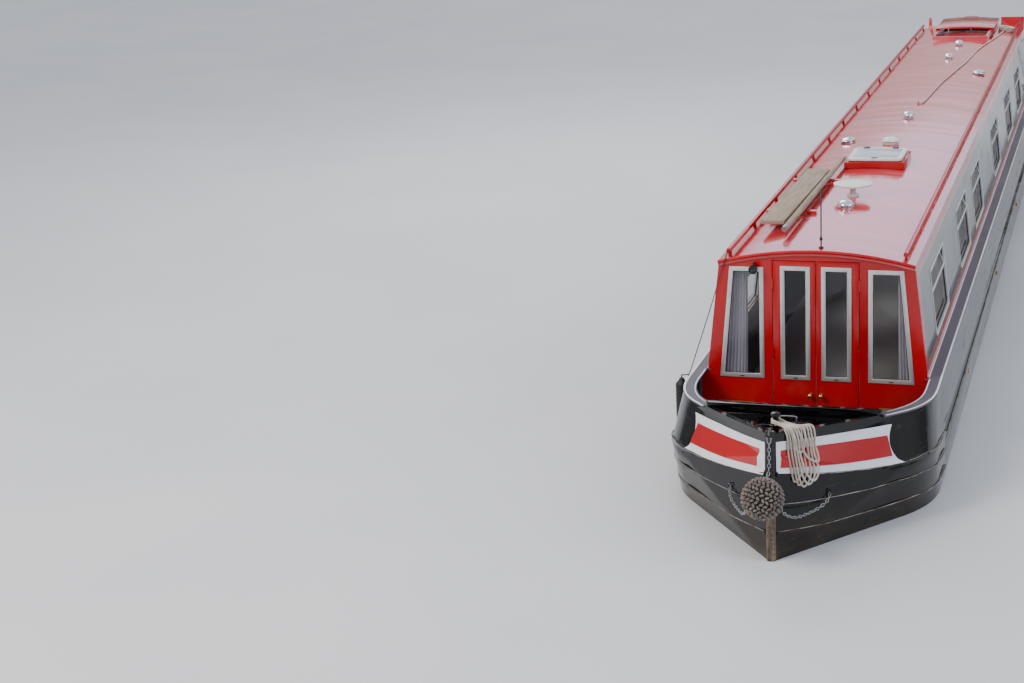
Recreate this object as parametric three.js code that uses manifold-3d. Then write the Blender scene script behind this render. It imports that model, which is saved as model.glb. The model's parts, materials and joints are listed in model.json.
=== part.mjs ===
// Steel canal narrowboat, 60 ft by 6 ft 10 in, built from its separate plates, doors, lids and gear.
// Units are millimetres. +Z is up, the bow points to -Y, port is +X. The origin is the middle of the
// baseplate's underside, on which the boat stands when it is out of the water.

import * as THREE from 'three';
import { mergeVertices } from 'three/addons/utils/BufferGeometryUtils.js';
import Module from 'manifold-3d';

const wasm = await Module();
wasm.setup();

const { PI, sin, cos, tan, asin, atan2, sqrt, hypot, min, max } = Math;

// Clearances
const GAP = 0.3; // between pieces that touch
const CLEAR = 6; // round doors, lids and turning pieces
const OVER = 1200; // a breadth or depth beyond the hull on every side

// Hull
const HULL_LENGTH = 18290;
const WALL = 50; // hull plate, frame and lining together
const PLATE = 12; // baseplate, uxter plate and capping
const WATERLINE = 550;
const GUNWALE = 1340;
const UXTER = 488; // underside of the plate above the propeller
const DECK = 980; // top of the stern deck

// Places along the boat
const STEM = -HULL_LENGTH / 2;
const STERN = HULL_LENGTH / 2;
const CABIN_FRONT = STEM + 2020;
const CABIN_REAR = STERN - 1630;
const BAR = STEM + 930; // aft edge of the foredeck
const SWIM_START = STERN - 3240; // where the underwater stern leaves the parallel side
const COUNTER = STERN - 1140; // where the rounded stern leaves it

// Bow
const NOSE = 33; // half width of the shell's flat nose, behind the stem post
const NOSE_Y = STEM + 30;
const SHEER_START = STEM + 1570;
const SHEER = 170; // rise of the gunwale at the stem
const RIM = GUNWALE + 12; // top of the shell round the foredeck
const FOREDECK = GUNWALE - 28;
const SHELL_TOP = GUNWALE - PLATE - GAP;

// Hull lines at each level: half the breadth over the plates, and the radius of the bow's shoulder
// and how far behind the stem the shoulder ends
const LINES = [
  { z: 0, half: 1000, radius: 1000, shoulder: 1670 },
  { z: WATERLINE, half: 1031, radius: 1000, shoulder: 1670 },
  { z: 1000, half: 1028, radius: 850, shoulder: 1400 },
  { z: GUNWALE, half: 990, radius: 1190, shoulder: 1740 },
  { z: GUNWALE + 300, half: 965, radius: 1300, shoulder: 1900 },
];
const WIDEST = 1031;

// Underwater stern
const SWIM_HALF = 994;
const SWIM_RADIUS = 1464;
const SWIM_TAIL = 16; // half width where both sides meet
const RUN = THREE.MathUtils.degToRad(26); // half angle of the swim

// Cabin
const CABIN_BASE = 888; // half widths
const CABIN_TOP = 778;
const ROOF_EDGE = 2267;
const CAMBER = 100;
const ROOF_PLATE = 45;
const PANEL = 60;
const FLOOR = 180;
const SEAT = CABIN_BASE - 25; // inner edge of the capping under the cabin side

// Doors and hatches
const DOOR_LEAF = 345;
const DOOR_SILL = 700;
const DOOR_HEAD = 2268;
const DOOR_PLATE = 40;
const REAR_DOOR_LEAF = 330;
const REAR_DOOR_HEAD = ROOF_EDGE + 120;
const SLIDE_LENGTH = 1150;
const SLIDE_HALF = 415;
const SLIDE_TOP = ROOF_EDGE + 185;
const SLIDE_LOW = ROOF_EDGE + 110;
const HATCH_X = 25;
const HATCH_Y = CABIN_FRONT + 3600;
const HATCH_WIDE = 570;
const HATCH_LONG = 590;
const HATCH_HIGH = 60;

// Stern gear
const SHAFT_Z = 270;
const SHAFT_R = 19;
const PROPELLER_Y = STERN - 570;
const PROPELLER_R = 200;
const STOCK_Y = STERN - 250;
const STOCK_R = 22;

// Cords and chains
const ROPE_R = 8;
const LINE_R = 5;
const LINK = { long: 42, radius: 11, wire: 4.5, pitch: 35 };

// Materials by finish
const finish = (color, roughness, metalness = 0) => new THREE.MeshStandardMaterial(
  { color, roughness, metalness });
const FINISH = {
  blackGloss: finish(0x0d0d10, 0.25),
  blacking: finish(0x151515, 0.6),
  slate: finish(0x4c4c58, 0.55),
  red: finish(0xb8141c, 0.25),
  maroon: finish(0x7c1618, 0.4),
  timber: finish(0x8a6a48, 0.6),
  weathered: finish(0xb09880, 0.85),
  steel: finish(0x9a9a9a, 0.4, 1),
  glass: finish(0x1a2024, 0.05),
  white: finish(0xe4e4e0, 0.5),
  brass: finish(0xb08a3a, 0.3, 1),
  engine: finish(0x2f5a3a, 0.5),
  rope: finish(0xc8bcb0, 0.9),
  oldRope: finish(0x5a5048, 0.95),
  rubber: finish(0x141414, 0.8),
};

const boat = new THREE.Group();
boat.name = 'narrowboat';

function add(name, geometry, material) {
  const mesh = new THREE.Mesh(geometry, material);
  mesh.name = name;
  boat.add(mesh);
}

// Booleans

function solid(geometry) {
  const bare = geometry.clone();
  bare.deleteAttribute('normal');
  bare.deleteAttribute('uv');
  const merged = mergeVertices(bare, 0.01);
  const index = merged.index.array;
  const kept = [];
  for (let i = 0; i < index.length; i += 3) {
    const [a, b, c] = [index[i], index[i + 1], index[i + 2]];
    if (a !== b && b !== c && c !== a) kept.push(a, b, c);
  }
  return new wasm.Manifold(new wasm.Mesh({
    numProp: 3,
    vertProperties: new Float32Array(merged.attributes.position.array),
    triVerts: new Uint32Array(kept),
  }));
}

function shell(manifold) {
  const { vertProperties, triVerts } = manifold.getMesh();
  const geometry = new THREE.BufferGeometry();
  geometry.setAttribute('position', new THREE.BufferAttribute(vertProperties, 3));
  geometry.setIndex(new THREE.BufferAttribute(triVerts, 1));
  geometry.computeVertexNormals();
  return geometry;
}

const join = (...geometries) => shell(geometries.map(solid).reduce((a, b) => a.add(b)));
const cut = (geometry, ...tools) => shell(tools.map(solid).reduce((a, b) => a.subtract(b), solid(geometry)));
const common = (a, b) => shell(solid(a).intersect(solid(b)));
const across = (geometry) => shell(solid(geometry).mirror([1, 0, 0]));

// Shapes

function box(x0, x1, y0, y1, z0, z1) {
  return new THREE.BoxGeometry(x1 - x0, y1 - y0, z1 - z0)
    .translate((x0 + x1) / 2, (y0 + y1) / 2, (z0 + z1) / 2);
}

function cylinderZ(radius, x, y, z0, z1, sides = 20) {
  return new THREE.CylinderGeometry(radius, radius, z1 - z0, sides)
    .rotateX(PI / 2).translate(x, y, (z0 + z1) / 2);
}

function cylinderY(radius, x, z, y0, y1, sides = 20) {
  return new THREE.CylinderGeometry(radius, radius, y1 - y0, sides).translate(x, (y0 + y1) / 2, z);
}

// A profile of radius and height turned about a vertical axis
function turned(profile, x, y, z, sides = 20) {
  return new THREE.LatheGeometry(profile.map(([r, h]) => new THREE.Vector2(r, h)), sides)
    .rotateX(PI / 2).translate(x, y, z);
}

const outline = (points) => new THREE.Shape(points.map(([a, b]) => new THREE.Vector2(a, b)));

function extrudeZ(shape, z0, z1) {
  return new THREE.ExtrudeGeometry(shape, { depth: z1 - z0, bevelEnabled: false }).translate(0, 0, z0);
}

// A shape drawn in X and Z, run along Y
function extrudeY(shape, y0, y1) {
  return new THREE.ExtrudeGeometry(shape, { depth: y1 - y0, bevelEnabled: false })
    .rotateX(PI / 2).translate(0, y1, 0);
}

// A shape drawn in Y and Z, run along X
function extrudeX(shape, x0, x1) {
  const turn = new THREE.Matrix4().makeBasis(
    new THREE.Vector3(0, 1, 0), new THREE.Vector3(0, 0, 1), new THREE.Vector3(1, 0, 0));
  return new THREE.ExtrudeGeometry(shape, { depth: x1 - x0, bevelEnabled: false })
    .applyMatrix4(turn).translate(x0, 0, 0);
}

const curve = (points) => new THREE.CatmullRomCurve3(
  points.map((p) => new THREE.Vector3(...p)), false, 'centripetal');

function tube(points, radius, sides = 10, steps = 24) {
  const section = Array.from({ length: sides }, (_, i) => {
    const a = (2 * PI * i) / sides;
    return [radius * cos(a), radius * sin(a)];
  });
  const options = { extrudePath: curve(points), steps, bevelEnabled: false };
  return new THREE.ExtrudeGeometry(outline(section), options);
}

// A closed body through rings of points, all alike in number. The first ring's points run anticlockwise
// as seen from the last ring, and `contour` gives them flat. Each patch is split along its shorter
// diagonal, so both sides of the boat are alike.
function skin(rings, contour) {
  const count = rings[0].length;
  const points = rings.flat();
  const span = (i, j) => hypot(...points[i].map((value, k) => value - points[j][k]));
  const index = [];
  for (let k = 0; k < rings.length - 1; k += 1) {
    for (let i = 0; i < count; i += 1) {
      const a = k * count + i;
      const b = k * count + ((i + 1) % count);
      if (span(a, b + count) < span(b, a + count)) index.push(a, b, b + count, a, b + count, a + count);
      else index.push(a, b, a + count, b, b + count, a + count);
    }
  }
  const last = (rings.length - 1) * count;
  const faces = THREE.ShapeUtils.triangulateShape(contour.map(([a, b]) => new THREE.Vector2(a, b)), []);
  for (const [a, b, c] of faces) index.push(a, c, b, last + a, last + b, last + c);
  const geometry = new THREE.BufferGeometry();
  geometry.setAttribute('position', new THREE.Float32BufferAttribute(points.flat(), 3));
  geometry.setIndex(index);
  return geometry;
}

// Hull form

const mix = (a, b, t) => a + (b - a) * t;

// The two levels of the table round a height, and how far the height is between them
function levelsRound(z) {
  const upper = max(1, LINES.findIndex((line) => line.z >= z));
  const [low, high] = [LINES[upper - 1], LINES[upper]];
  return { low, high, t: (z - low.z) / (high.z - low.z) };
}

function halfAt(z) {
  const { low, high, t } = levelsRound(z);
  return mix(low.half, high.half, t);
}

function linesAt({ half, radius, shoulder }) {
  const centre = half - radius;
  const shoulderY = STEM + shoulder;
  const ahead = shoulderY - NOSE_Y;
  // the straight part of the bow runs from the nose to touch the shoulder's arc at this angle
  const entry = atan2(centre - NOSE, ahead) + asin(radius / hypot(centre - NOSE, ahead));
  return { centre, shoulderY, entry };
}

// Port side of the bow at a level of the table, from the nose aft
const SHOULDER_STEPS = 7;
function bowSide(line, inset) {
  const { radius } = line;
  const { centre, shoulderY, entry } = linesAt(line);
  const arc = Array.from({ length: SHOULDER_STEPS + 1 }, (_, i) => {
    const a = entry * (1 - i / SHOULDER_STEPS);
    return [centre + (radius - inset) * cos(a), shoulderY - (radius - inset) * sin(a)];
  });
  const [x, y] = arc[0];
  return [[NOSE, y - (x - NOSE) / tan(entry)], ...arc];
}

// Half the breadth over the plates at any place and height of the bow
function breadthOn(line, y) {
  const { half, radius } = line;
  const { centre, shoulderY, entry } = linesAt(line);
  if (y >= shoulderY) return half;
  const ahead = shoulderY - y;
  if (ahead < radius * sin(entry)) return centre + sqrt(radius ** 2 - ahead ** 2);
  return NOSE + (y - NOSE_Y) * tan(entry);
}

function breadth(y, z) {
  const { low, high, t } = levelsRound(z);
  return mix(breadthOn(low, y), breadthOn(high, y), t);
}

function swimSide(inset) {
  const centre = SWIM_HALF - SWIM_RADIUS;
  const radius = SWIM_RADIUS - inset;
  const arc = [0, 0.25, 0.5, 0.75, 1].map((t) => [
    centre + radius * cos(RUN * t), SWIM_START + radius * sin(RUN * t)]);
  const [x, y] = arc[arc.length - 1];
  return [...arc, [SWIM_TAIL, y + (x - SWIM_TAIL) / tan(RUN)]];
}

const STERN_STEPS = 22;
function sternRound({ half }, inset) {
  const depth = STERN - COUNTER - (WIDEST - half) - inset;
  return Array.from({ length: STERN_STEPS + 1 }, (_, i) => {
    const a = (PI * i) / STERN_STEPS;
    return [(half - inset) * cos(a), COUNTER + depth * sin(a)];
  });
}

const mirrored = (points) => points.map(([x, ...rest]) => [-x, ...rest]).reverse();

// Closed outlines at a level of the table, anticlockwise from above
function bowRing(line, inset, aft) {
  const side = bowSide(line, inset);
  const half = line.half - inset;
  return [[-half, aft], ...mirrored(side), ...side, [half, aft]];
}

function sternRing(line, inset, fore) {
  const half = line.half - inset;
  return [[-half, fore], [half, fore], ...sternRound(line, inset)];
}

function hullRing(line, inset) {
  const side = bowSide(line, inset);
  return [...mirrored(side), ...side, ...sternRound(line, inset)];
}

function swimRing(inset, fore) {
  const side = swimSide(inset);
  return [[inset - SWIM_HALF, fore], [SWIM_HALF - inset, fore], ...side, ...mirrored(side)];
}

// A body from z0 to z1 with the outline that `ring` gives at each level of the table
function body(z0, z1, ring) {
  const first = LINES.findLastIndex(({ z }) => z <= z0);
  const last = LINES.findIndex(({ z }) => z >= z1);
  const rings = LINES.slice(first, last + 1).map((line) => ring(line).map(([x, y]) => [x, y, line.z]));
  return common(skin(rings, rings[0]), box(-OVER, OVER, STEM - OVER, STERN + OVER, z0, z1));
}

const sheer = (y) => SHEER * (max(0, SHEER_START - y) / (SHEER_START - STEM)) ** 1.5;

// The space between two levels that follow the sheer, over the whole breadth
const SHEER_STEPS = 14;
function sheerBand(low, high, fore, aft) {
  const end = min(aft, SHEER_START);
  const run = Array.from({ length: SHEER_STEPS + 1 }, (_, i) => mix(fore, end, i / SHEER_STEPS));
  if (aft > end) run.push(aft);
  const lower = run.map((y) => [y, low + sheer(y)]);
  const upper = run.map((y) => [y, high + sheer(y)]).reverse();
  return extrudeX(outline([...lower, ...upper]), -OVER, OVER);
}

// Below the gunwale

const TOE = 10; // the baseplate's edge outside the side plates
const baseBow = bowSide(LINES[0], -TOE);
const baseSwim = swimSide(-TOE - LINES[0].half + SWIM_HALF);
const basePlan = [...mirrored(baseBow), ...baseBow, ...baseSwim, ...mirrored(baseSwim)];
add('baseplate', body(0, PLATE, () => basePlan), FINISH.blacking);

// Guard irons: height at each station behind the stem, then along the side
const STATIONS = [0, 200, 420, 640, 860, 1100, 1740, 2020];
const IRONS = [
  { heights: [1222, 1145, 1095, 1056, 1038, 1033, 952, 895], side: 880 },
  { heights: [974, 935, 912, 900, 897, 885, 800, 755] },
  { heights: [762, 735, 715, 703, 700, 692, 640, 615] },
];
const IRON_SECTION = [[-12, -23], [13, -12], [13, 12], [-12, 23]]; // outwards, upwards
const IRON_STEPS = 16;

function along(stations, values, place) {
  const i = max(1, stations.findIndex((s) => s >= place));
  return mix(values[i - 1], values[i], (place - stations[i - 1]) / (stations[i] - stations[i - 1]));
}

// A bar along the port side through [y, z] places, from aft forward
function sideBar(places, section) {
  const rings = places.map(([y, z]) => {
    const slope = (breadth(y + 1, z) - breadth(y - 1, z)) / 2;
    const [outX, outY] = [1 / hypot(1, slope), -slope / hypot(1, slope)];
    const x = breadth(y, z);
    return section.map(([out, up]) => [x + outX * out, y + outY * out, z + up]);
  });
  return skin(rings, section);
}

const bowAft = CABIN_FRONT - GAP;
function ironBar(heights, section) {
  const places = Array.from({ length: IRON_STEPS + 1 }, (_, i) => {
    const behind = mix(bowAft - 1 - STEM, 36, i / IRON_STEPS);
    return [STEM + behind, along(STATIONS, heights, behind)];
  });
  return sideBar(places, section);
}
const irons = IRONS.map(({ heights }) => ironBar(heights, IRON_SECTION));

// Eyes for the bow fender's side chains
const EYE = { behind: 365, z: 980, radius: 16, wire: 4, out: 12 };
const eyeX = breadth(STEM + EYE.behind, EYE.z);
const { entry: eyeEntry } = linesAt(levelsRound(EYE.z).high);
const eyeAt = [eyeX + EYE.out * cos(eyeEntry), STEM + EYE.behind - EYE.out * sin(eyeEntry), EYE.z];
const eye = new THREE.TorusGeometry(EYE.radius, EYE.wire, 6, 12)
  .rotateX(PI / 2).rotateZ(-eyeEntry).translate(...eyeAt);

const bowOuter = body(PLATE + GAP, RIM + SHEER + 10, (line) => bowRing(line, 0, CABIN_FRONT));
const bowInner = body(PLATE, RIM + SHEER + 20, (line) => bowRing(line, WALL, CABIN_FRONT + 10));
const bowBelow = join(
  sheerBand(-SHEER, RIM, STEM - 100, BAR),
  sheerBand(-SHEER, SHELL_TOP, BAR - 1, bowAft));
const bowWall = cut(common(bowOuter, bowBelow), bowInner);
add('bow_shell', join(bowWall, ...irons, ...irons.map(across), eye, across(eye)), FINISH.blackGloss);

// Stem post, with the eye that holds the bow fender's upper chain
const STEM_TOP = GUNWALE + 200;
const STEM_EYE = [0, STEM - 16, GUNWALE + 150];
const stemSection = outline([
  [-NOSE, NOSE_Y - GAP], [-NOSE, STEM + 12], [-NOSE / 2, STEM], [NOSE / 2, STEM], [NOSE, STEM + 12],
  [NOSE, NOSE_Y - GAP]]);
const stemEye = new THREE.TorusGeometry(EYE.radius, EYE.wire, 6, 12).rotateY(PI / 2).translate(...STEM_EYE);
add('stem_post', join(extrudeZ(stemSection, PLATE + GAP, STEM_TOP), stemEye), FINISH.weathered);

function sideWall() {
  const levels = LINES.filter(({ z }) => z <= GUNWALE);
  const outer = levels.map(({ z, half }) => [half, z]).reverse();
  const inner = levels.map(({ z, half }) => [half - WALL, z]);
  const long = extrudeY(outline([...outer, ...inner]), CABIN_FRONT, COUNTER - GAP);
  const low = box(0, OVER, CABIN_FRONT, SWIM_START - GAP, PLATE + GAP, SHELL_TOP);
  const high = box(0, OVER, CABIN_FRONT, COUNTER - GAP, UXTER + PLATE + GAP, SHELL_TOP);
  const strake = sideBar([[COUNTER - 5, IRONS[0].side], [CABIN_FRONT + 1, IRONS[0].side]], IRON_SECTION);
  return join(common(long, join(low, high)), strake);
}
add('hull_side_port', sideWall(), FINISH.blackGloss);
add('hull_side_starboard', across(sideWall()), FINISH.blackGloss);

const TUBE = { fore: STERN - 1060, aft: STERN - 690, radius: 46 };
const swimOuter = body(PLATE + GAP, UXTER - GAP, () => swimRing(0, SWIM_START));
const swimInner = body(0, UXTER + PLATE, () => swimRing(WALL, SWIM_START - 10));
const sternTube = cylinderY(TUBE.radius, 0, SHAFT_Z, TUBE.fore, TUBE.aft);
const tubeBore = cylinderY(SHAFT_R + CLEAR, 0, SHAFT_Z, TUBE.fore - 50, TUBE.aft + 50);
add('swim', cut(join(cut(swimOuter, swimInner), sternTube), tubeBore), FINISH.blacking);

const uxterPlate = cut(
  body(UXTER, UXTER + PLATE, (line) => sternRing(line, 6, SWIM_START)),
  body(UXTER - 10, UXTER + PLATE + 10, () => swimRing(WALL, SWIM_START - 10)),
  cylinderZ(STOCK_R + CLEAR, 0, STOCK_Y, UXTER - 10, UXTER + PLATE + 10));
add('uxter_plate', uxterPlate, FINISH.blacking);

const counterFoot = UXTER + PLATE + GAP;
const counterOuter = body(counterFoot, SHELL_TOP, (line) => sternRing(line, 0, COUNTER));
const counterInner = body(counterFoot - 10, SHELL_TOP + 10, (line) => sternRing(line, WALL, COUNTER - 10));
add('counter', cut(counterOuter, counterInner), FINISH.blackGloss);

// Gunwale capping, one half each side, from the foredeck round to the stern
const CAPPING_OUT = 8; // beyond the side plates
const CAPPING_IN = 96;
const [cappingLow, cappingHigh] = [GUNWALE - 60, GUNWALE + SHEER];
const cappingPlan = body(cappingLow, cappingHigh, (line) => hullRing(line, -CAPPING_OUT));
const cappingHole = body(cappingLow - 10, cappingHigh + 10, (line) => hullRing(line, CAPPING_IN));
const underCabin = box(-CABIN_BASE - 10, CABIN_BASE + 10, CABIN_FRONT, CABIN_REAR, cappingLow, cappingHigh);
const cabinHole = box(-SEAT, SEAT, CABIN_FRONT - 10, CABIN_REAR + 10, cappingLow - 10, cappingHigh + 10);
const cappingBand = sheerBand(GUNWALE - PLATE, GUNWALE, BAR, STERN + 50);
const capping = common(join(cut(cappingPlan, cappingHole), cut(underCabin, cabinHole)), cappingBand);
add('gunwale_port', common(capping, box(GAP, OVER, STEM, STERN + 50, 0, 2000)), FINISH.slate);
add('gunwale_starboard', common(capping, box(-OVER, -GAP, STEM, STERN + 50, 0, 2000)), FINISH.slate);

// Foredeck, with the bar across its aft edge, the locker front below it and the mooring stud
const BAR_DEEP = 45;
const BAR_TOP = RIM + sheer(BAR) + 40;
const LOCKER_FLOOR = 655;
const insideBow = body(LOCKER_FLOOR + GAP, RIM + SHEER, (line) => bowRing(line, WALL + GAP, CABIN_FRONT));
const foredeckPlate = common(insideBow, sheerBand(FOREDECK - 10, FOREDECK, STEM - 100, BAR - GAP));
const lockerFront = common(insideBow, box(-OVER, OVER, BAR - 20, BAR - GAP, LOCKER_FLOOR, RIM));
const barInside = common(insideBow, box(-OVER, OVER, BAR - BAR_DEEP, BAR - GAP, FOREDECK, BAR_TOP - 5));
const onRim = RIM + sheer(BAR - BAR_DEEP) + GAP;
const barAbove = common(bowOuter, box(-OVER, OVER, BAR - BAR_DEEP, BAR - GAP, onRim, BAR_TOP));
const STUD = { y: STEM + 243, radius: 21, cap: 33, top: GUNWALE + 262 };
const studFoot = FOREDECK + sheer(STUD.y);
const stud = join(
  cylinderZ(STUD.radius, 0, STUD.y, studFoot - 6, STUD.top - 8, 16),
  cylinderZ(STUD.cap, 0, STUD.y, STUD.top - 20, STUD.top, 16));
const GAS_LID = { half: 200, fore: STEM + 460, aft: BAR - 130 };
function gasLidBlock(less) {
  const { half, fore, aft } = GAS_LID;
  return box(less - half, half - less, fore + less, aft - less, FOREDECK - 60, FOREDECK + SHEER + 60);
}
const foredeck = cut(join(foredeckPlate, lockerFront, barInside, barAbove, stud), gasLidBlock(0));
add('foredeck', foredeck, FINISH.blackGloss);
const gasLid = common(gasLidBlock(CLEAR), sheerBand(FOREDECK - 8, FOREDECK + 6, STEM, BAR));
add('gas_locker_lid', gasLid, FINISH.blackGloss);

const wellRing = (line) => bowRing(line, WALL + GAP, CABIN_FRONT - GAP);
const wellFloor = body(LOCKER_FLOOR - 15, LOCKER_FLOOR, wellRing);
add('well_floor', wellFloor, FINISH.timber);

// Locker seats down both sides of the well, each with a lid
const SEAT_TOP = 1050;
const SEAT_EDGE = 520;
const SEAT_AFT = CABIN_FRONT - 4;
const BENCH = 20; // thickness of the locker's boards
const SEAT_LID = {
  inner: SEAT_EDGE - 15, outer: 800, fore: CABIN_FRONT - 650, aft: CABIN_FRONT - 8, thick: 22 };
function seatBlock(low, high, edge, fore, aft, inset) {
  const room = body(low, high, (line) => bowRing(line, inset, aft));
  return common(room, box(edge, OVER, fore, aft, low - 1, high + 1));
}
const lockerOuter = seatBlock(LOCKER_FLOOR + GAP, SEAT_TOP, SEAT_EDGE, BAR + GAP, SEAT_AFT, WALL + 2);
const lockerInner = seatBlock(
  LOCKER_FLOOR + BENCH, SEAT_TOP - BENCH, SEAT_EDGE + BENCH, BAR + BENCH, SEAT_AFT - BENCH, WALL + 2 + BENCH);
const lockerMouth = box(
  SEAT_EDGE + BENCH, SEAT_LID.outer - BENCH, SEAT_LID.fore + BENCH, SEAT_AFT - BENCH,
  SEAT_TOP - 40, SEAT_TOP + 20);
const seatLid = box(
  SEAT_LID.inner, SEAT_LID.outer, SEAT_LID.fore, SEAT_LID.aft,
  SEAT_TOP + CLEAR, SEAT_TOP + CLEAR + SEAT_LID.thick);
const locker = cut(lockerOuter, lockerInner, lockerMouth);
add('well_locker_port', locker, FINISH.maroon);
add('well_locker_starboard', across(locker), FINISH.maroon);
add('seat_lid_port', seatLid, FINISH.timber);
add('seat_lid_starboard', across(seatLid), FINISH.timber);

const floorHalf = halfAt(FLOOR - 30) - WALL - 2;
add('cabin_floor', box(
  -floorHalf, floorHalf, CABIN_FRONT + PANEL + 5, SWIM_START - 50, FLOOR - 30, FLOOR), FINISH.timber);

// Cabin

const ROOF_RADIUS = (CABIN_TOP ** 2 + CAMBER ** 2) / (2 * CAMBER);
const roofCentre = ROOF_EDGE + CAMBER - ROOF_RADIUS;
const roofTop = (x) => roofCentre + sqrt(ROOF_RADIUS ** 2 - x * x);
const roofUnder = (x) => roofCentre + sqrt((ROOF_RADIUS - ROOF_PLATE) ** 2 - x * x);
const EAVES = CABIN_TOP + 6;
const ROOF_FACETS = 10;
const SKY = 2800; // above everything on the roof

function camberPoints(height) {
  return Array.from({ length: ROOF_FACETS + 1 }, (_, i) => {
    const x = mix(EAVES, -EAVES, i / ROOF_FACETS);
    return [x, height(x)];
  });
}

// Everything below the roof plate, and everything above it
function underRoof(y0, y1) {
  const edge = roofUnder(EAVES) - GAP;
  const points = camberPoints((x) => roofUnder(x) - GAP);
  return extrudeY(outline([[-OVER, 0], [OVER, 0], [OVER, edge], ...points, [-OVER, edge]]), y0, y1);
}

function overRoof(y0, y1, lift = GAP) {
  const points = camberPoints((x) => roofTop(x) + lift).reverse();
  return extrudeY(outline([...points, [EAVES, SKY], [-EAVES, SKY]]), y0, y1);
}

// The bulkheads stand between the cappings, so they narrow to the seat at gunwale level
const FOOT_HALF = halfAt(GUNWALE) - WALL - 2;
function endWall(y0, y1, foot) {
  const wall = outline([
    [-FOOT_HALF, foot], [FOOT_HALF, foot], [FOOT_HALF, SHELL_TOP], [CABIN_BASE, SHELL_TOP],
    [CABIN_BASE, GUNWALE], [CABIN_TOP, ROOF_EDGE], [CABIN_TOP, SKY],
    [-CABIN_TOP, SKY], [-CABIN_TOP, ROOF_EDGE], [-CABIN_BASE, GUNWALE],
    [-CABIN_BASE, SHELL_TOP], [-FOOT_HALF, SHELL_TOP],
  ]);
  const slots = join(
    box(SEAT - 1, OVER, y0 - 1, y1 + 1, SHELL_TOP - 0.5, GUNWALE + GAP),
    box(-OVER, 1 - SEAT, y0 - 1, y1 + 1, SHELL_TOP - 0.5, GUNWALE + GAP));
  return cut(common(extrudeY(wall, y0, y1), underRoof(y0 - 1, y1 + 1)), slots);
}

// Windows beside the front doors: inner edge upright, outer edge along the cabin's lean
const FRAME = 36; // width of the metal round each pane
const LIGHT = { sill: 1282, head: 2215, inner: 418, foot: 785, top: 695 };
function lightShape(grow) {
  const { sill, head, inner, foot, top } = LIGHT;
  return outline([
    [inner - grow, sill - grow], [foot + grow, sill - grow],
    [top + grow, head + grow], [inner - grow, head + grow]]);
}

const BULKHEAD_AFT = CABIN_FRONT + PANEL;
const lightHole = extrudeY(lightShape(0), CABIN_FRONT - 20, BULKHEAD_AFT + 20);
const doorHole = box(
  -DOOR_LEAF - CLEAR, DOOR_LEAF + CLEAR, CABIN_FRONT - 20, BULKHEAD_AFT + 20,
  DOOR_SILL - CLEAR, DOOR_HEAD + CLEAR);
const bulkhead = cut(
  endWall(CABIN_FRONT, BULKHEAD_AFT, LOCKER_FLOOR - 200), doorHole, lightHole, across(lightHole));
add('front_bulkhead', bulkhead, FINISH.red);

// A window unit is its metal frame with the pane inside it, as one piece
const UNIT_FRONT = 8; // the frame stands this far out of the panel
const UNIT_DEEP = 24;
const PANE = 8;
const lightFace = CABIN_FRONT - UNIT_FRONT;
const lightUnit = cut(
  extrudeY(lightShape(-GAP), lightFace, lightFace + UNIT_DEEP),
  extrudeY(lightShape(-FRAME), lightFace - 10, CABIN_FRONT),
  extrudeY(lightShape(-FRAME), CABIN_FRONT + PANE, CABIN_FRONT + UNIT_DEEP + 10));
add('bulkhead_window_port', lightUnit, FINISH.glass);
add('bulkhead_window_starboard', across(lightUnit), FINISH.glass);

const LEAF_FRONT = CABIN_FRONT + 4;
const LEAF_AFT = LEAF_FRONT + DOOR_PLATE;
const DOOR_LIGHT = { inner: 44, outer: 285, sill: 1279, head: 2227 };
function doorLight(y0, y1, less) {
  const { inner, outer, sill, head } = DOOR_LIGHT;
  return box(inner + less, outer - less, y0, y1, sill + less, head - less);
}
const leaf = cut(
  box(CLEAR / 2, DOOR_LEAF, LEAF_FRONT, LEAF_AFT, DOOR_SILL, DOOR_HEAD),
  doorLight(LEAF_FRONT - 10, LEAF_AFT + 10, 0));
const doorUnit = cut(
  doorLight(LEAF_FRONT - UNIT_FRONT, LEAF_FRONT - UNIT_FRONT + UNIT_DEEP, GAP),
  doorLight(LEAF_FRONT - 20, LEAF_FRONT, FRAME),
  doorLight(LEAF_FRONT + PANE, LEAF_AFT, FRAME));
add('front_door_port', leaf, FINISH.red);
add('front_door_starboard', across(leaf), FINISH.red);
add('front_door_window_port', doorUnit, FINISH.glass);
add('front_door_window_starboard', across(doorUnit), FINISH.glass);

// Tunnel lamp on the front bulkhead, below the roof
const LAMP = { x: -487, z: GUNWALE + 870, radius: 36, deep: 62 };
const lampProfile = [
  [0, -LAMP.deep], [LAMP.radius, -LAMP.deep], [LAMP.radius * 0.9, -LAMP.deep * 0.4],
  [LAMP.radius * 0.5, -4], [0, 0]];
const lampHouse = new THREE.LatheGeometry(lampProfile.map(([r, y]) => new THREE.Vector2(r, y)), 16)
  .translate(LAMP.x, CABIN_FRONT - 24, LAMP.z);
const lampFoot = box(LAMP.x - 9, LAMP.x + 9, CABIN_FRONT - 60, CABIN_FRONT - GAP, LAMP.z + 14, LAMP.z + 42);
add('tunnel_lamp', join(lampHouse, lampFoot), FINISH.rubber);

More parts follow.
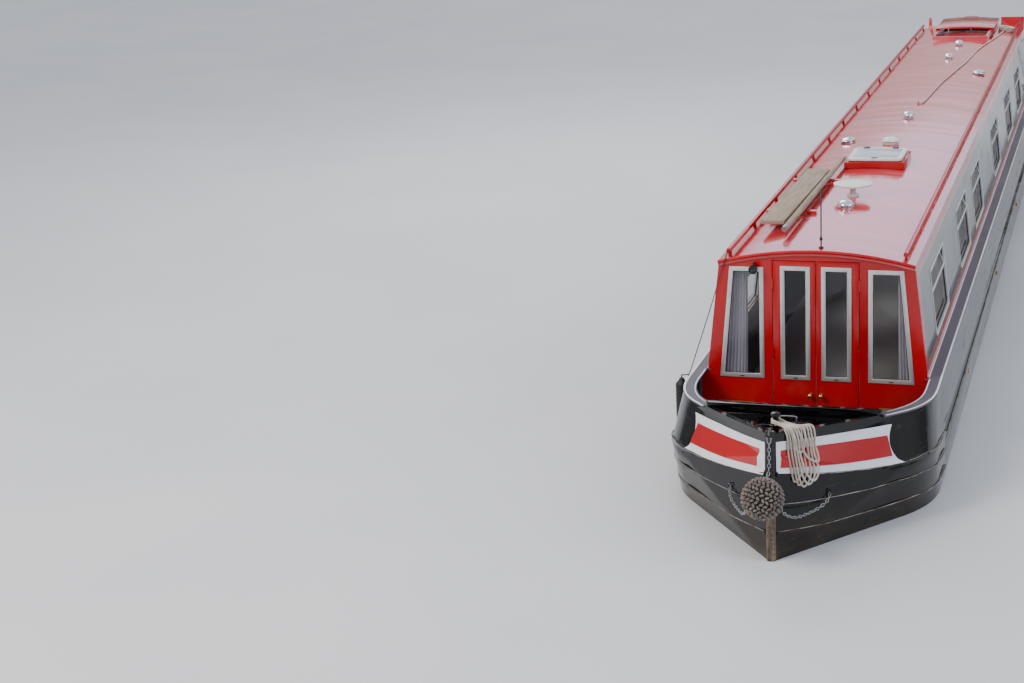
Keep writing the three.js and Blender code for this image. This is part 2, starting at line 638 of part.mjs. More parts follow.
// Cabin sides, with six windows each: distance of the aft edge behind the cabin front
const WINDOWS = [1880, 4160, 5830, 8500, 10780, 12790];
const WINDOW = { long: 1050, sill: 1460, head: 2000 };
function cabinSide() {
  const inner = CABIN_BASE - PANEL;
  const section = outline([
    [CABIN_BASE, GUNWALE + GAP], [CABIN_TOP, ROOF_EDGE], [CABIN_TOP - PANEL, ROOF_EDGE + PANEL],
    [CABIN_TOP - PANEL, ROOF_EDGE], [inner, GUNWALE + GAP]]);
  const y0 = BULKHEAD_AFT + GAP;
  const y1 = CABIN_REAR - PANEL - GAP;
  const wall = common(extrudeY(section, y0, y1), underRoof(y0 - 1, y1 + 1));
  const holes = WINDOWS.map((behind) => {
    const aft = CABIN_FRONT + behind;
    return box(CABIN_TOP - PANEL * 2, OVER, aft - WINDOW.long, aft, WINDOW.sill, WINDOW.head);
  });
  return cut(wall, ...holes);
}
add('cabin_side_port', cabinSide(), FINISH.red);
add('cabin_side_starboard', across(cabinSide()), FINISH.red);

// Roof plate, with the runners of the sliding hatch, the stowage racks and the low fittings on it
const ROOF_FORE = CABIN_FRONT - 16;
const ROOF_AFT = CABIN_REAR + 16;
const roofSection = outline([...camberPoints(roofTop), ...camberPoints(roofUnder).reverse()]);
const roofPlate = extrudeY(roofSection, ROOF_FORE, ROOF_AFT);
const slideHole = box(
  -REAR_DOOR_LEAF - 10, REAR_DOOR_LEAF + 10, CABIN_REAR - 900, ROOF_AFT + 50, ROOF_EDGE - 100, SKY);
const SKYLIGHT = 240; // half width and length of the opening
const skylightHole = box(
  HATCH_X - SKYLIGHT, HATCH_X + SKYLIGHT, HATCH_Y - SKYLIGHT, HATCH_Y + SKYLIGHT, ROOF_EDGE - 100, SKY);

const RUNNER = { inner: 352, outer: 382, fore: CABIN_REAR - SLIDE_LENGTH - 760, top: ROOF_EDGE + 142 };
const runner = box(
  RUNNER.inner, RUNNER.outer, RUNNER.fore, ROOF_AFT, roofUnder(RUNNER.outer) + 10, RUNNER.top);
const runnerStop = box(
  -RUNNER.outer, RUNNER.outer, RUNNER.fore, RUNNER.fore + 40, roofUnder(RUNNER.outer) + 20, RUNNER.top);

const RACK = { inner: -205, outer: -640, foot: 30, rail: 25, lift: 60 };
const rackLow = roofTop(RACK.outer) + RACK.lift;
const RACK_TOP = rackLow + RACK.rail;
const racks = [1350, 2680].map((behind) => {
  const y = CABIN_FRONT + behind;
  const legs = [RACK.outer + 20, RACK.inner - 20 - RACK.foot].map((x) => box(
    x, x + RACK.foot, y - 25, y + 25, roofUnder(x) + 10, rackLow + 10));
  return join(box(RACK.outer, RACK.inner, y - 25, y + 25, rackLow, RACK_TOP), ...legs);
});

const VENTS = [ // across, behind the cabin front, radius, height
  { x: 11, y: 1584, r: 71, h: 60 },
  { x: 20, y: 4640, r: 86, h: 60 },
  { x: -444, y: 4850, r: 80, h: 48 },
  { x: 21, y: 6200, r: 64, h: 62 },
  { x: 504, y: 9650, r: 80, h: 48 },
  { x: 24, y: 10840, r: 64, h: 62 },
  { x: 38, y: 12140, r: 60, h: 62 },
];
function vent({ x, y, r, h }) {
  const profile = [
    [0, 0], [r * 0.62, 0], [r * 0.62, h * 0.5], [r, h * 0.62], [r * 0.86, h * 0.9],
    [r * 0.4, h + 12], [0, h + 12]];
  return turned(profile, x, CABIN_FRONT + y, roofTop(x) - 12, 18);
}

// Eye that the roof line is made fast to
const ROPE_EYE = { x: 27, y: CABIN_FRONT + 7094, radius: 20, wire: 5 };
const ropeEye = new THREE.TorusGeometry(ROPE_EYE.radius, ROPE_EYE.wire, 6, 12)
  .rotateY(PI / 2).translate(ROPE_EYE.x, ROPE_EYE.y, roofTop(ROPE_EYE.x) + 14);

// Upstands at the roof's aft edge, a wide one to port and a narrow one to starboard
const RIDGE_TOP = GUNWALE + 1110;
const ridges = [[440, EAVES - 8], [-630, -585]].map(([x0, x1]) => box(
  x0, x1, CABIN_REAR - 12, CABIN_REAR + 14, roofUnder(EAVES - 8) + 4, RIDGE_TOP));
const onRoof = common(
  join(...ridges), overRoof(CABIN_REAR - 50, CABIN_REAR + 50, -20));

const roof = join(
  cut(roofPlate, slideHole, skylightHole), runner, across(runner), runnerStop, ...racks, ...VENTS.map(vent),
  ropeEye, onRoof);
add('roof', roof, FINISH.red);

const KERB = 50; // thickness of the skylight's sides
const hatchFoot = roofTop(0) - 30;
const hatchTop = roofTop(0) + HATCH_HIGH;
function hatchBlock(less, low, high) {
  const [wide, long] = [HATCH_WIDE / 2 - less, HATCH_LONG / 2 - less];
  return box(HATCH_X - wide, HATCH_X + wide, HATCH_Y - long, HATCH_Y + long, low, high);
}
const hatchRing = cut(hatchBlock(0, hatchFoot, hatchTop), hatchBlock(KERB, hatchFoot - 50, hatchTop + 50));
const hatchBase = common(hatchRing, overRoof(HATCH_Y - 500, HATCH_Y + 500));
add('roof_hatch_base', hatchBase, FINISH.red);
const HATCH_LID = { half: 258, long: 280, low: hatchTop + CLEAR, thick: 28 };
add('roof_hatch_lid', box(
  HATCH_X - HATCH_LID.half, HATCH_X + HATCH_LID.half, HATCH_Y - HATCH_LID.long, HATCH_Y + HATCH_LID.long,
  HATCH_LID.low, HATCH_LID.low + HATCH_LID.thick), FINISH.white);

// Handrails along both roof edges, on short feet
const RAIL = { x: 705, radius: 21, lift: 50, fore: CABIN_FRONT + 30, aft: CABIN_REAR - 60, feet: 15 };
const railLevel = roofTop(RAIL.x) + RAIL.lift;
function handrail() {
  const bar = tube([[RAIL.x, RAIL.fore, railLevel], [RAIL.x, RAIL.aft, railLevel]], RAIL.radius, 10, 1);
  const feet = Array.from({ length: RAIL.feet }, (_, i) => {
    const y = mix(RAIL.fore + 60, RAIL.aft - 60, i / (RAIL.feet - 1));
    return box(RAIL.x - 9, RAIL.x + 9, y - 30, y + 30, roofTop(RAIL.x) - 30, railLevel);
  });
  return common(join(bar, ...feet), overRoof(RAIL.fore - 100, RAIL.aft + 100));
}
add('handrail_port', handrail(), FINISH.red);
add('handrail_starboard', across(handrail()), FINISH.red);

// Rear bulkhead, its doors and the sliding hatch
const REAR_SILL = DECK + 40;
const REAR_FORE = CABIN_REAR - PANEL;
const rearHole = box(
  -REAR_DOOR_LEAF - CLEAR, REAR_DOOR_LEAF + CLEAR, REAR_FORE - 20, CABIN_REAR + 20, REAR_SILL - CLEAR, SKY);
add('rear_bulkhead', cut(endWall(REAR_FORE, CABIN_REAR, DECK + GAP), rearHole), FINISH.red);
const rearLeaf = box(
  CLEAR / 2, REAR_DOOR_LEAF, CABIN_REAR - 36, CABIN_REAR + 4, REAR_SILL, REAR_DOOR_HEAD);
add('rear_door_port', rearLeaf, FINISH.red);
add('rear_door_starboard', across(rearLeaf), FINISH.red);

const slideEdge = [[SLIDE_HALF, SLIDE_LOW], [SLIDE_HALF, SLIDE_TOP - 22], [SLIDE_HALF * 0.5, SLIDE_TOP - 6]];
const slideInner = [[20 - SLIDE_HALF, SLIDE_LOW], [20 - SLIDE_HALF, SLIDE_TOP - 36]];
const slideSection = outline([
  ...slideEdge, [0, SLIDE_TOP], ...mirrored(slideEdge),
  ...slideInner, [0, SLIDE_TOP - 30], ...mirrored(slideInner)]);
add('slide_hatch', extrudeY(slideSection, CABIN_REAR - SLIDE_LENGTH, CABIN_REAR + 40), FINISH.red);

// Stern: deck and its lids, engine, propeller, skeg, rudder, tiller and rail

const DECK_PLY = 30;
const deckRoom = body(DECK - DECK_PLY, DECK, (line) => sternRing(line, WALL + GAP, REAR_FORE));
const DECK_LID = { half: 560, fore: CABIN_REAR + 220, aft: STERN - 660, thick: 26 };
const deckHole = box(-DECK_LID.half, DECK_LID.half, DECK_LID.fore, DECK_LID.aft, DECK - 60, DECK + 60);
const stockHole = cylinderZ(STOCK_R + CLEAR, 0, STOCK_Y, DECK - 60, DECK + 60);
add('stern_deck', cut(deckRoom, deckHole, stockHole), FINISH.timber);
const deckLid = box(
  CLEAR / 2, DECK_LID.half - CLEAR, DECK_LID.fore + CLEAR, DECK_LID.aft - CLEAR,
  DECK - DECK_LID.thick, DECK);
add('deck_lid_port', deckLid, FINISH.timber);
add('deck_lid_starboard', across(deckLid), FINISH.timber);

const ENGINE = { fore: STERN - 1940, aft: STERN - 1240, half: 240, foot: 505, top: 880 };
const GEARBOX_AFT = ENGINE.aft + 40;
const engine = join(
  box(-ENGINE.half, ENGINE.half, ENGINE.fore, ENGINE.aft, ENGINE.foot, ENGINE.top),
  box(-110, 110, ENGINE.fore + 50, ENGINE.aft - 150, 220, ENGINE.foot + 15),
  box(-70, 70, ENGINE.aft - 160, GEARBOX_AFT, 180, 400));
add('engine', engine, FINISH.engine);

const BLADES = 3;
function blade(turn) {
  const leafShape = new THREE.Shape();
  leafShape.moveTo(-26, 20);
  leafShape.bezierCurveTo(-90, 90, -105, 165, -20, PROPELLER_R);
  leafShape.bezierCurveTo(70, 190, 95, 120, 30, 20);
  return new THREE.ExtrudeGeometry(leafShape, { depth: 9, curveSegments: 8, bevelEnabled: false })
    .translate(0, 0, -4.5).rotateX(PI / 2).rotateZ(0.5).rotateY(turn).translate(0, PROPELLER_Y, SHAFT_Z);
}
const shaft = cylinderY(SHAFT_R, 0, SHAFT_Z, GEARBOX_AFT + GAP, PROPELLER_Y + 70);
const hubProfile = [[0, -70], [40, -70], [44, 20], [30, 60], [0, 72]];
const hub = new THREE.LatheGeometry(hubProfile.map(([r, y]) => new THREE.Vector2(r, y)), 20)
  .translate(0, PROPELLER_Y, SHAFT_Z);
const blades = Array.from({ length: BLADES }, (_, i) => blade((2 * PI * i) / BLADES));
add('propeller', join(shaft, hub, ...blades), FINISH.brass);

const SKEG_FOOT = PLATE + 2;
const HEEL = swimSide(0).at(-1)[1] + GAP; // just behind the edge where the sides of the swim meet
const skeg = join(
  box(-22, 22, HEEL, STERN - 200, SKEG_FOOT, SKEG_FOOT + 36),
  cylinderZ(40, 0, STOCK_Y, SKEG_FOOT, SKEG_FOOT + 48));
const skegCup = cylinderZ(STOCK_R + CLEAR, 0, STOCK_Y, SKEG_FOOT + 26, SKEG_FOOT + 66);
add('skeg', cut(skeg, skegCup), FINISH.blacking);

const STOCK_TOP = 1120;
const rudderBlade = box(-6, 6, STOCK_Y - 125, STOCK_Y + 235, SKEG_FOOT + 60, UXTER - 16);
const stock = cylinderZ(STOCK_R, 0, STOCK_Y, SKEG_FOOT + 32, STOCK_TOP);
add('rudder', join(rudderBlade, stock), FINISH.blacking);

const TILLER_TOP = 1790;
const swan = tube([
  [0, STOCK_Y, STOCK_TOP + 8], [0, STOCK_Y + 8, 1260], [0, STOCK_Y - 20, 1520], [0, STOCK_Y - 90, 1700],
  [0, STOCK_Y - 200, TILLER_TOP - 16], [0, STOCK_Y - 300, TILLER_TOP]], 19, 12, 14);
const clampRing = cut(
  cylinderZ(38, 0, STOCK_Y, STOCK_TOP - 60, STOCK_TOP + 20),
  cylinderZ(STOCK_R + GAP, 0, STOCK_Y, STOCK_TOP - 80, STOCK_TOP + GAP));
add('tiller', join(swan, clampRing), FINISH.red);
const tillerBar = tube([
  [0, STOCK_Y - 305, TILLER_TOP + 1], [0, STOCK_Y - 600, TILLER_TOP + 46], [0, STOCK_Y - 880, TILLER_TOP + 90]],
  15, 12, 4);
add('tiller_bar', tillerBar, FINISH.brass);

// Guard rail round the stern deck, over the middle of the capping
const GUARD = { inset: 44, fore: CABIN_REAR + 220, top: 2010, middle: 1690 };
const guardHalf = halfAt(GUNWALE) - GUARD.inset;
const guardPlan = [
  [guardHalf, GUARD.fore], ...sternRound(levelsRound(GUNWALE).high, GUARD.inset), [-guardHalf, GUARD.fore]];
const guardAt = (z) => guardPlan.map(([x, y]) => [x, y, z]);
const POSTS = [0, 7, 12, 17, guardPlan.length - 1]; // places on the plan
const posts = POSTS.map((i) => {
  const [x, y] = guardPlan[i];
  const foot = i === 0 || i === guardPlan.length - 1 ? y + 20 : y;
  return cylinderZ(15, x, foot, GUNWALE + GAP, GUARD.top, 8);
});
const guard = join(tube(guardAt(GUARD.top), 17, 8, 30), tube(guardAt(GUARD.middle), 13, 6, 30), ...posts);
add('stern_rail', guard, FINISH.steel);

// Gear carried on the boat

// A board or pole laid on the racks between two places, [across, behind the cabin front]
function laid([x0, y0], [x1, y1], wide, thick) {
  return new THREE.BoxGeometry(wide, hypot(x1 - x0, y1 - y0), thick)
    .rotateZ(-atan2(x1 - x0, y1 - y0))
    .translate((x0 + x1) / 2, CABIN_FRONT + (y0 + y1) / 2, RACK_TOP + GAP + thick / 2);
}
add('gangplank', laid([-490, 780], [-447, 2990], 205, 36), FINISH.weathered);
add('boat_pole', laid([-332, 490], [-300, 3570], 56, 56), FINISH.weathered);

const AERIAL = { x: 5, y: CABIN_FRONT + 2050 };
const aerial = [
  [0, 0], [52, 0], [52, 14], [28, 24], [26, 66], [60, 88], [170, 100], [173, 116], [120, 128], [0, 134]];
add('aerial', turned(aerial, AERIAL.x, AERIAL.y, roofTop(0) + GAP, 32), FINISH.white);

const rod = [[0, 0], [20, 0], [20, 8], [6, 12], [6, 58], [13, 68], [13, 80], [6, 90], [6, 470], [0, 476]];
add('roof_rod', turned(rod, 35, CABIN_FRONT + 70, roofTop(0) + GAP, 12), FINISH.rubber);

// Bow fender: a rope ball held by three chains

const BALL_R = 150;
const BALL = [-25, STEM - BALL_R - 3, GUNWALE - 248];

// A chain along a line, with each link fused to the next. The first link lies flat to `wide`.
function chain(points, wide) {
  const line = curve(points);
  const run = line.getLength() - LINK.long;
  const count = Math.ceil(run / LINK.pitch) + 1;
  return Array.from({ length: count }, (_, i) => {
    const t = (LINK.long / 2 + (run * i) / (count - 1)) / line.getLength();
    const ahead = line.getTangentAt(t);
    const side = new THREE.Vector3(...wide).addScaledVector(ahead, -ahead.dot(new THREE.Vector3(...wide)));
    side.normalize();
    if (i % 2) side.cross(ahead);
    const link = new THREE.TorusGeometry(LINK.radius, LINK.wire, 4, 6);
    const p = link.attributes.position;
    const stretch = LINK.long / 2 - LINK.radius;
    for (let k = 0; k < p.count; k += 1) {
      const x = p.getX(k);
      if (Math.abs(x) > 0.5) p.setX(k, x + stretch * Math.sign(x));
    }
    const frame = new THREE.Matrix4().makeBasis(ahead, side, new THREE.Vector3().crossVectors(ahead, side));
    return link.applyMatrix4(frame).translate(...line.getPointAt(t).toArray());
  });
}

const onBall = ([x, y, z]) => {
  const out = (BALL_R - 6) / hypot(x, y, z);
  return [BALL[0] + x * out, BALL[1] + y * out, BALL[2] + z * out];
};
const SIDE_CHAIN = [ // across, behind the stem, above the gunwale
  [345, 300, -412], [302, 232, -436], [238, 120, -444], [178, 10, -436], [132, -76, -392]];
const sideChain = [
  eyeAt, [eyeAt[0] + 4, eyeAt[1] - 6, EYE.z - 30],
  ...SIDE_CHAIN.map(([x, y, z]) => [x, STEM + y, GUNWALE + z]), onBall([125, 10, -78])];
const LEAN = 7; // the ball hangs a little to starboard
const otherChain = [
  ...sideChain.slice(0, -1).map(([x, y, z], i) => [-x - LEAN * max(0, i - 1), y, z]),
  onBall([-125, 10, -78])];
const upperChain = [
  STEM_EYE, [0, STEM - 16, GUNWALE], [-2, STEM - 18, GUNWALE - 60], [-5, STEM - 32, GUNWALE - 105],
  onBall([14, 82, 122])];
const eyeAlong = [sin(eyeEntry), cos(eyeEntry), 0];
const ball = new THREE.SphereGeometry(BALL_R, 22, 14).rotateX(PI / 2).translate(...BALL);
const bowFender = join(
  ball, ...chain(upperChain, [1, 0, 0]), ...chain(sideChain, eyeAlong),
  ...chain(otherChain, [-eyeAlong[0], eyeAlong[1], 0]));
add('bow_fender', bowFender, FINISH.oldRope);

const sternFender = [
  [0, -260], [60, -250], [110, -190], [125, -80], [125, 80], [110, 190], [60, 250], [0, 260]];
add('stern_fender', new THREE.LatheGeometry(sternFender.map(([r, z]) => new THREE.Vector2(r, z)), 20)
  .rotateZ(PI / 2).translate(0, STERN + 140, 900), FINISH.oldRope);

// Ropes

// Bow rope: a hank round the stud's neck, over the port rim and down the outside of the bow
const HANK_DEEP = 34;
const HANK = [ // behind the stem, above the gunwale
  [104, 175], [82, 60], [84, -60], [104, -170], [140, -235], [190, -276], [240, -270], [282, -220], [312, -130],
  [334, 0], [346, 125]];
const hankRoom = body(900, RIM + SHEER, (line) => bowRing(line, -HANK_DEEP, CABIN_FRONT));
const hankShell = body(880, RIM + SHEER + 20, (line) => bowRing(line, -0.5, CABIN_FRONT + 10));
const hankSide = common(
  cut(hankRoom, hankShell),
  extrudeX(outline(HANK.map(([y, z]) => [STEM + y, GUNWALE + z])), 40, OVER));
const hankPlan = outline([
  [0, STUD.y - 40], [90, STEM + 86], [330, STEM + 356], [0, STUD.y + 40]]);
const hankTop = common(
  common(extrudeZ(hankPlan, GUNWALE, RIM + SHEER + 60), sheerBand(RIM + 0.5, RIM + HANK_DEEP, STEM - 20, BAR)),
  body(GUNWALE, RIM + SHEER + 100, (line) => bowRing(line, -HANK_DEEP, CABIN_FRONT)));
const neck = cylinderZ(46, 0, STUD.y, studFoot + 24, studFoot + 84, 20);
const studRoom = cylinderZ(STUD.radius + GAP, 0, STUD.y, studFoot, STUD.top + 40, 16);
const bowBelowHank = common(hankShell, sheerBand(-SHEER, RIM + 0.4, STEM - 20, BAR));
const roundSection = IRON_SECTION.map(([out, up]) => [out + 0.5, up + Math.sign(up) * 0.5]);
const roundIron = ironBar(IRONS[0].heights, roundSection);
add('bow_rope', cut(join(cut(hankSide, bowBelowHank), hankTop, neck), studRoom, roundIron), FINISH.rope);

// Roof line: from its eye aft along the roof to its coil
const COIL = { x: 555, y: CABIN_FRONT + 14030, inner: 66, outer: 120, high: 68 };
const ROPE_LIFT = ROPE_R + 1.4;
const ROOF_LINE = [ // across, behind the cabin front
  [33, 7094], [58, 7098], [80, 7160], [104, 7600], [141, 8560], [210, 9560], [283, 10596], [322, 11532],
  [400, 12450], [455, 12945], [506, 13500], [533, 13905]];
const roofLine = ROOF_LINE.map(([x, y]) => [x, CABIN_FRONT + y, roofTop(x) + ROPE_LIFT]);
add('roof_rope', tube(roofLine, ROPE_R, 8, 76), FINISH.rope);
const coilRing = [
  [COIL.inner, 0], [COIL.outer, 0], [COIL.outer, COIL.high], [COIL.inner, COIL.high], [COIL.inner, 0]];
add('roof_rope_coil', turned(coilRing, 0, 0, 0, 28)
  .rotateY(asin(COIL.x / ROOF_RADIUS)).translate(COIL.x, COIL.y, roofTop(COIL.x) + GAP), FINISH.rope);

// Side fender hung over the gunwale from the starboard handrail
const SIDE_FENDER = { x: -1098, y: CABIN_FRONT - 60, top: GUNWALE - 70, radius: 52, long: 480 };
const fenderProfile = [
  [0, 0], [30, 0], [SIDE_FENDER.radius, 40], [SIDE_FENDER.radius, SIDE_FENDER.long - 60],
  [24, SIDE_FENDER.long - 20], [18, SIDE_FENDER.long], [0, SIDE_FENDER.long]];
add('side_fender', turned(
  fenderProfile, SIDE_FENDER.x, SIDE_FENDER.y, SIDE_FENDER.top - SIDE_FENDER.long, 16), FINISH.rubber);
const sideLine = [
  [-RAIL.x, RAIL.fore - GAP, railLevel], [-RAIL.x, CABIN_FRONT - 2, railLevel - 1],
  [-RAIL.x - 8, CABIN_FRONT - 32, railLevel - 34], [-848, CABIN_FRONT - 85, 1850],
  [-1004, CABIN_FRONT - 148, GUNWALE + 14], [-1020, CABIN_FRONT - 142, GUNWALE - 10],
  [-1062, CABIN_FRONT - 104, GUNWALE - 32], [SIDE_FENDER.x + 5, SIDE_FENDER.y - 5, SIDE_FENDER.top + 26],
  [SIDE_FENDER.x, SIDE_FENDER.y, SIDE_FENDER.top + 12], [SIDE_FENDER.x, SIDE_FENDER.y, SIDE_FENDER.top + GAP]];
add('side_line', tube(sideLine, LINE_R, 8, 60), FINISH.rubber);

export default boat;
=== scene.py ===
import json
import random
from math import asin, atan2, cos, pi, radians, sin, sqrt, tau

import bmesh
import bpy
from mathutils import Matrix, Vector
from mathutils.bvhtree import BVHTree


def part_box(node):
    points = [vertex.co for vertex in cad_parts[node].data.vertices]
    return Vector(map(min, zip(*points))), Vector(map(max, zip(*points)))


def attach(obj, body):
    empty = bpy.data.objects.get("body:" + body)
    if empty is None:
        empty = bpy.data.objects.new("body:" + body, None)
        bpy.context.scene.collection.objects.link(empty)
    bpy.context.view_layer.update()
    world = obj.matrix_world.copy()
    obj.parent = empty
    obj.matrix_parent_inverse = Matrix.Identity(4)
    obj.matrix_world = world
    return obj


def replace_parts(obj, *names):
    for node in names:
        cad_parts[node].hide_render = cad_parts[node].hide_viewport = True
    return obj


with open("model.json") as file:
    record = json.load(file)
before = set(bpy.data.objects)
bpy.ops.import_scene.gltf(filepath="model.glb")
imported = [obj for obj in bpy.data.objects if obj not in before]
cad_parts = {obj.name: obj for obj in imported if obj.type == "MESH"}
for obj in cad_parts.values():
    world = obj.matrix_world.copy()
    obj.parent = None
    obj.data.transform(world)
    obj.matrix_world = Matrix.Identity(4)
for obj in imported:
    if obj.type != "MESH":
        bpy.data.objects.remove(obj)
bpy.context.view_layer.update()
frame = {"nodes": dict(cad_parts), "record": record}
random.seed(7)

# The boat in metres: +Z up, bow at -Y, port at +X
STEM, STERN = -9.145, 9.145
CABIN_FRONT, CABIN_REAR = -7.125, 7.515
BAR = STEM + 0.93  # aft edge of the foredeck
WATERLINE, GUNWALE, DECK = 0.55, 1.34, 0.98
CABIN_BASE, CABIN_TOP = 0.888, 0.778  # half widths over the cabin sides
ROOF_EDGE, CROWN = 2.267, 2.367
ROOF_RADIUS = (CABIN_TOP ** 2 + (CROWN - ROOF_EDGE) ** 2) / (2 * (CROWN - ROOF_EDGE))
STUD = Vector((0, STEM + 0.243, 1.602))  # the head's top
RAIL_X = 0.705
WINDOW_ENDS = (1.88, 4.16, 5.83, 8.5, 10.78, 12.79)  # aft edges, behind the cabin front
WINDOW_LONG, WINDOW_SILL, WINDOW_HEAD = 1.05, 1.46, 2.0
GOLD_LINE = 0.012  # width of the line round the cabin side's panel
SIDES = {"port": 1, "starboard": -1}


def roof_top(x):
    """Height of the cambered roof."""
    return CROWN - ROOF_RADIUS + sqrt(ROOF_RADIUS ** 2 - x * x)


def mix(a, b, t):
    """The value a share t of the way from a to b."""
    return a + (b - a) * t


# Camera at the photograph's place, ahead of the bow, above it and to port

FOCAL, PICTURE = 1816.35, 1024  # in pixels of the photograph
EYE = Vector((2.2878, -21.139, 5.8318))
YAW, PITCH, ROLL = radians(-19.1655), radians(16.2835), radians(-3.0683)
right = Vector((cos(YAW), -sin(YAW), 0))
ahead = Vector((sin(YAW) * cos(PITCH), cos(YAW) * cos(PITCH), -sin(PITCH)))
up = right.cross(ahead)
camera = bpy.data.objects.new("camera", bpy.data.cameras.new("camera"))
camera.data.sensor_width = 36
camera.data.lens = 36 * FOCAL / PICTURE
camera.matrix_world = Matrix.Translation(EYE) @ Matrix((
    cos(ROLL) * right + sin(ROLL) * up, cos(ROLL) * up - sin(ROLL) * right, -ahead)).transposed().to_4x4()
bpy.context.scene.collection.objects.link(camera)
bpy.context.scene.camera = camera


# Materials

def linear(code):
    """An sRGB hex colour as linear red, green, blue and alpha."""
    parts = [int(code[i:i + 2], 16) / 255 for i in (0, 2, 4)]
    return (*(c / 12.92 if c <= 0.04045 else ((c + 0.055) / 1.055) ** 2.4 for c in parts), 1)


def add(tree, kind, inputs=(), out=0, **settings):
    """Adds a shader node and gives back one of its outputs. An input is a value, a hex colour or
    what feeds it."""
    made = tree.nodes.new("ShaderNode" + kind)
    for name, value in settings.items():
        setattr(made, name, value)
    for name, value in dict(inputs).items():
        if isinstance(value, bpy.types.NodeSocket):
            tree.links.new(value, made.inputs[name])
        else:
            made.inputs[name].default_value = linear(value) if isinstance(value, str) else value
    return made.outputs[out]


# A Mix node for colours takes them at inputs 6 and 7. A Bump node's Distance is the full rise in metres.
COLOUR = {"data_type": "RGBA", "out": 2}


class Finish:
    """A material under way: its nodes, its shader and the point that its patterns read."""

    def __init__(self, name, **values):
        self.made = bpy.data.materials.new(name)
        self.made.use_nodes = True
        self.nodes, self.links = self.made.node_tree.nodes, self.made.node_tree.links
        self.shader = self.nodes["Principled BSDF"]
        self.point = add(self, "TexCoord", out="Object")
        for key, value in values.items():
            self.set(key.replace("_", " ").title().replace("Ior", "IOR"), value)

    def set(self, name, value):
        """Gives the shader's socket a value, or what feeds it, and returns that."""
        if isinstance(value, bpy.types.NodeSocket):
            self.links.new(value, self.shader.inputs[name])
        else:
            self.shader.inputs[name].default_value = value
        return value

    def vary(self, field, colour, other, gloss=None):
        """The colour, and the roughness where two are given, follow a field from one to the other."""
        self.set("Base Color", add(self, "Mix", {0: field, 6: colour, 7: other}, **COLOUR))
        if gloss:
            self.set("Roughness", add(self, "MapRange", {
                "Value": field, "To Min": gloss[0], "To Max": gloss[1]}))

    def patches(self, scale, stretch=(1, 1, 1), detail=3, rough=0.5, low=0.35, high=0.65):
        """Uneven patches, so many a metre: 0 where they are below low, 1 above high."""
        place = add(self, "Mapping", {"Vector": self.point, "Scale": stretch})
        field = add(self, "TexNoise", {"Vector": place, "Scale": scale, "Detail": detail, "Roughness": rough})
        return add(self, "MapRange", {"Value": field, "From Min": low, "From Max": high})


def coach_enamel(name, colour, faded, dust_and_sheen, dust_and_sheen_share=0.25, lining=None, coat=0.12, waves=(1, 0.5, 1), haze=0.04,
                 drift=(1, 0.35, 1)):
    """Brushed gloss enamel on rolled plate: deep colour, slow ripples in the reflections, faint
    brush marks, and a thin pale film that softens the gloss in patches, which is dust and on the roof also
    painted sheen of the sky."""
    paint = Finish(name, specular_ior_level=0.4, coat_weight=coat, coat_roughness=haze, ior=1.5)
    patch = paint.patches(0.9, drift)
    film = paint.patches(4, drift, detail=7, low=0.5, high=0.85)
    body = add(paint, "Mix", {0: patch, 6: colour, 7: faded}, **COLOUR)
    # The pale film: dust, and on the roof also a painted sheen of the sky
    body = add(paint, "Mix", {
        0: add(paint, "Math", {0: film, 1: dust_and_sheen_share}, operation="MULTIPLY"), 6: body, 7: dust_and_sheen}, **COLOUR)
    if lining:
        body = lining(paint, body)
    paint.set("Base Color", body)
    paint.set("Roughness", add(paint, "MapRange", {"Value": film, "To Min": 0.1, "To Max": 0.3}))
    ripple = paint.set("Normal", add(paint, "Bump", {
        "Height": paint.patches(2.2, waves, detail=1), "Distance": 0.0022}))
    paint.set("Normal", add(paint, "Bump", {
        "Height": paint.patches(160, (1, 0.15, 1), detail=2), "Distance": 0.0002, "Normal": ripple}))
    return paint


def side_lining(paint, outside):
    """The inner faces of the cabin sides are faced with pale oak ply."""
    x, y, z = add(paint, "SeparateXYZ", {0: paint.point}, out=slice(3))
    across = add(paint, "Math", {0: x}, operation="ABSOLUTE")
    lean = (CABIN_BASE - CABIN_TOP) / (ROOF_EDGE - GUNWALE)
    level = add(paint, "Math", {0: z, 1: -GUNWALE}, operation="ADD")
    upright = add(paint, "Math", {0: level, 1: lean, 2: across}, operation="MULTIPLY_ADD")
    inside = add(paint, "Math", {0: upright, 1: CABIN_BASE - 0.02}, operation="LESS_THAN")
    grain = paint.patches(14, (6, 0.3, 6), detail=6)
    # Outside, a long green panel inside a gold line, with red borders round it
    past = []
    for place, low, high in ((y, CABIN_FRONT + 0.14, CABIN_REAR - 0.14),
                             (z, GUNWALE + 0.078, ROOF_EDGE - 0.105)):
        from_middle = add(paint, "Math", {0: place, 1: -(low + high) / 2}, operation="ADD")
        away = add(paint, "Math", {0: from_middle}, operation="ABSOLUTE")
        past.append(add(paint, "Math", {0: away, 1: -(high - low) / 2}, operation="ADD"))
    edge = add(paint, "Math", {0: past[0], 1: past[1]}, operation="MAXIMUM")
    lined = add(paint, "Math", {0: edge, 1: 0.0}, operation="LESS_THAN")
    panel = add(paint, "Math", {0: edge, 1: -GOLD_LINE}, operation="LESS_THAN")
    outside = add(paint, "Mix", {0: lined, 6: outside, 7: "c99a3c"}, **COLOUR)
    outside = add(paint, "Mix", {0: panel, 6: outside, 7: "12331f"}, **COLOUR)
    oak = add(paint, "Mix", {0: grain, 6: "b58d5c", 7: "94703f"}, **COLOUR)
    return add(paint, "Mix", {0: inside, 6: outside, 7: oak}, **COLOUR)


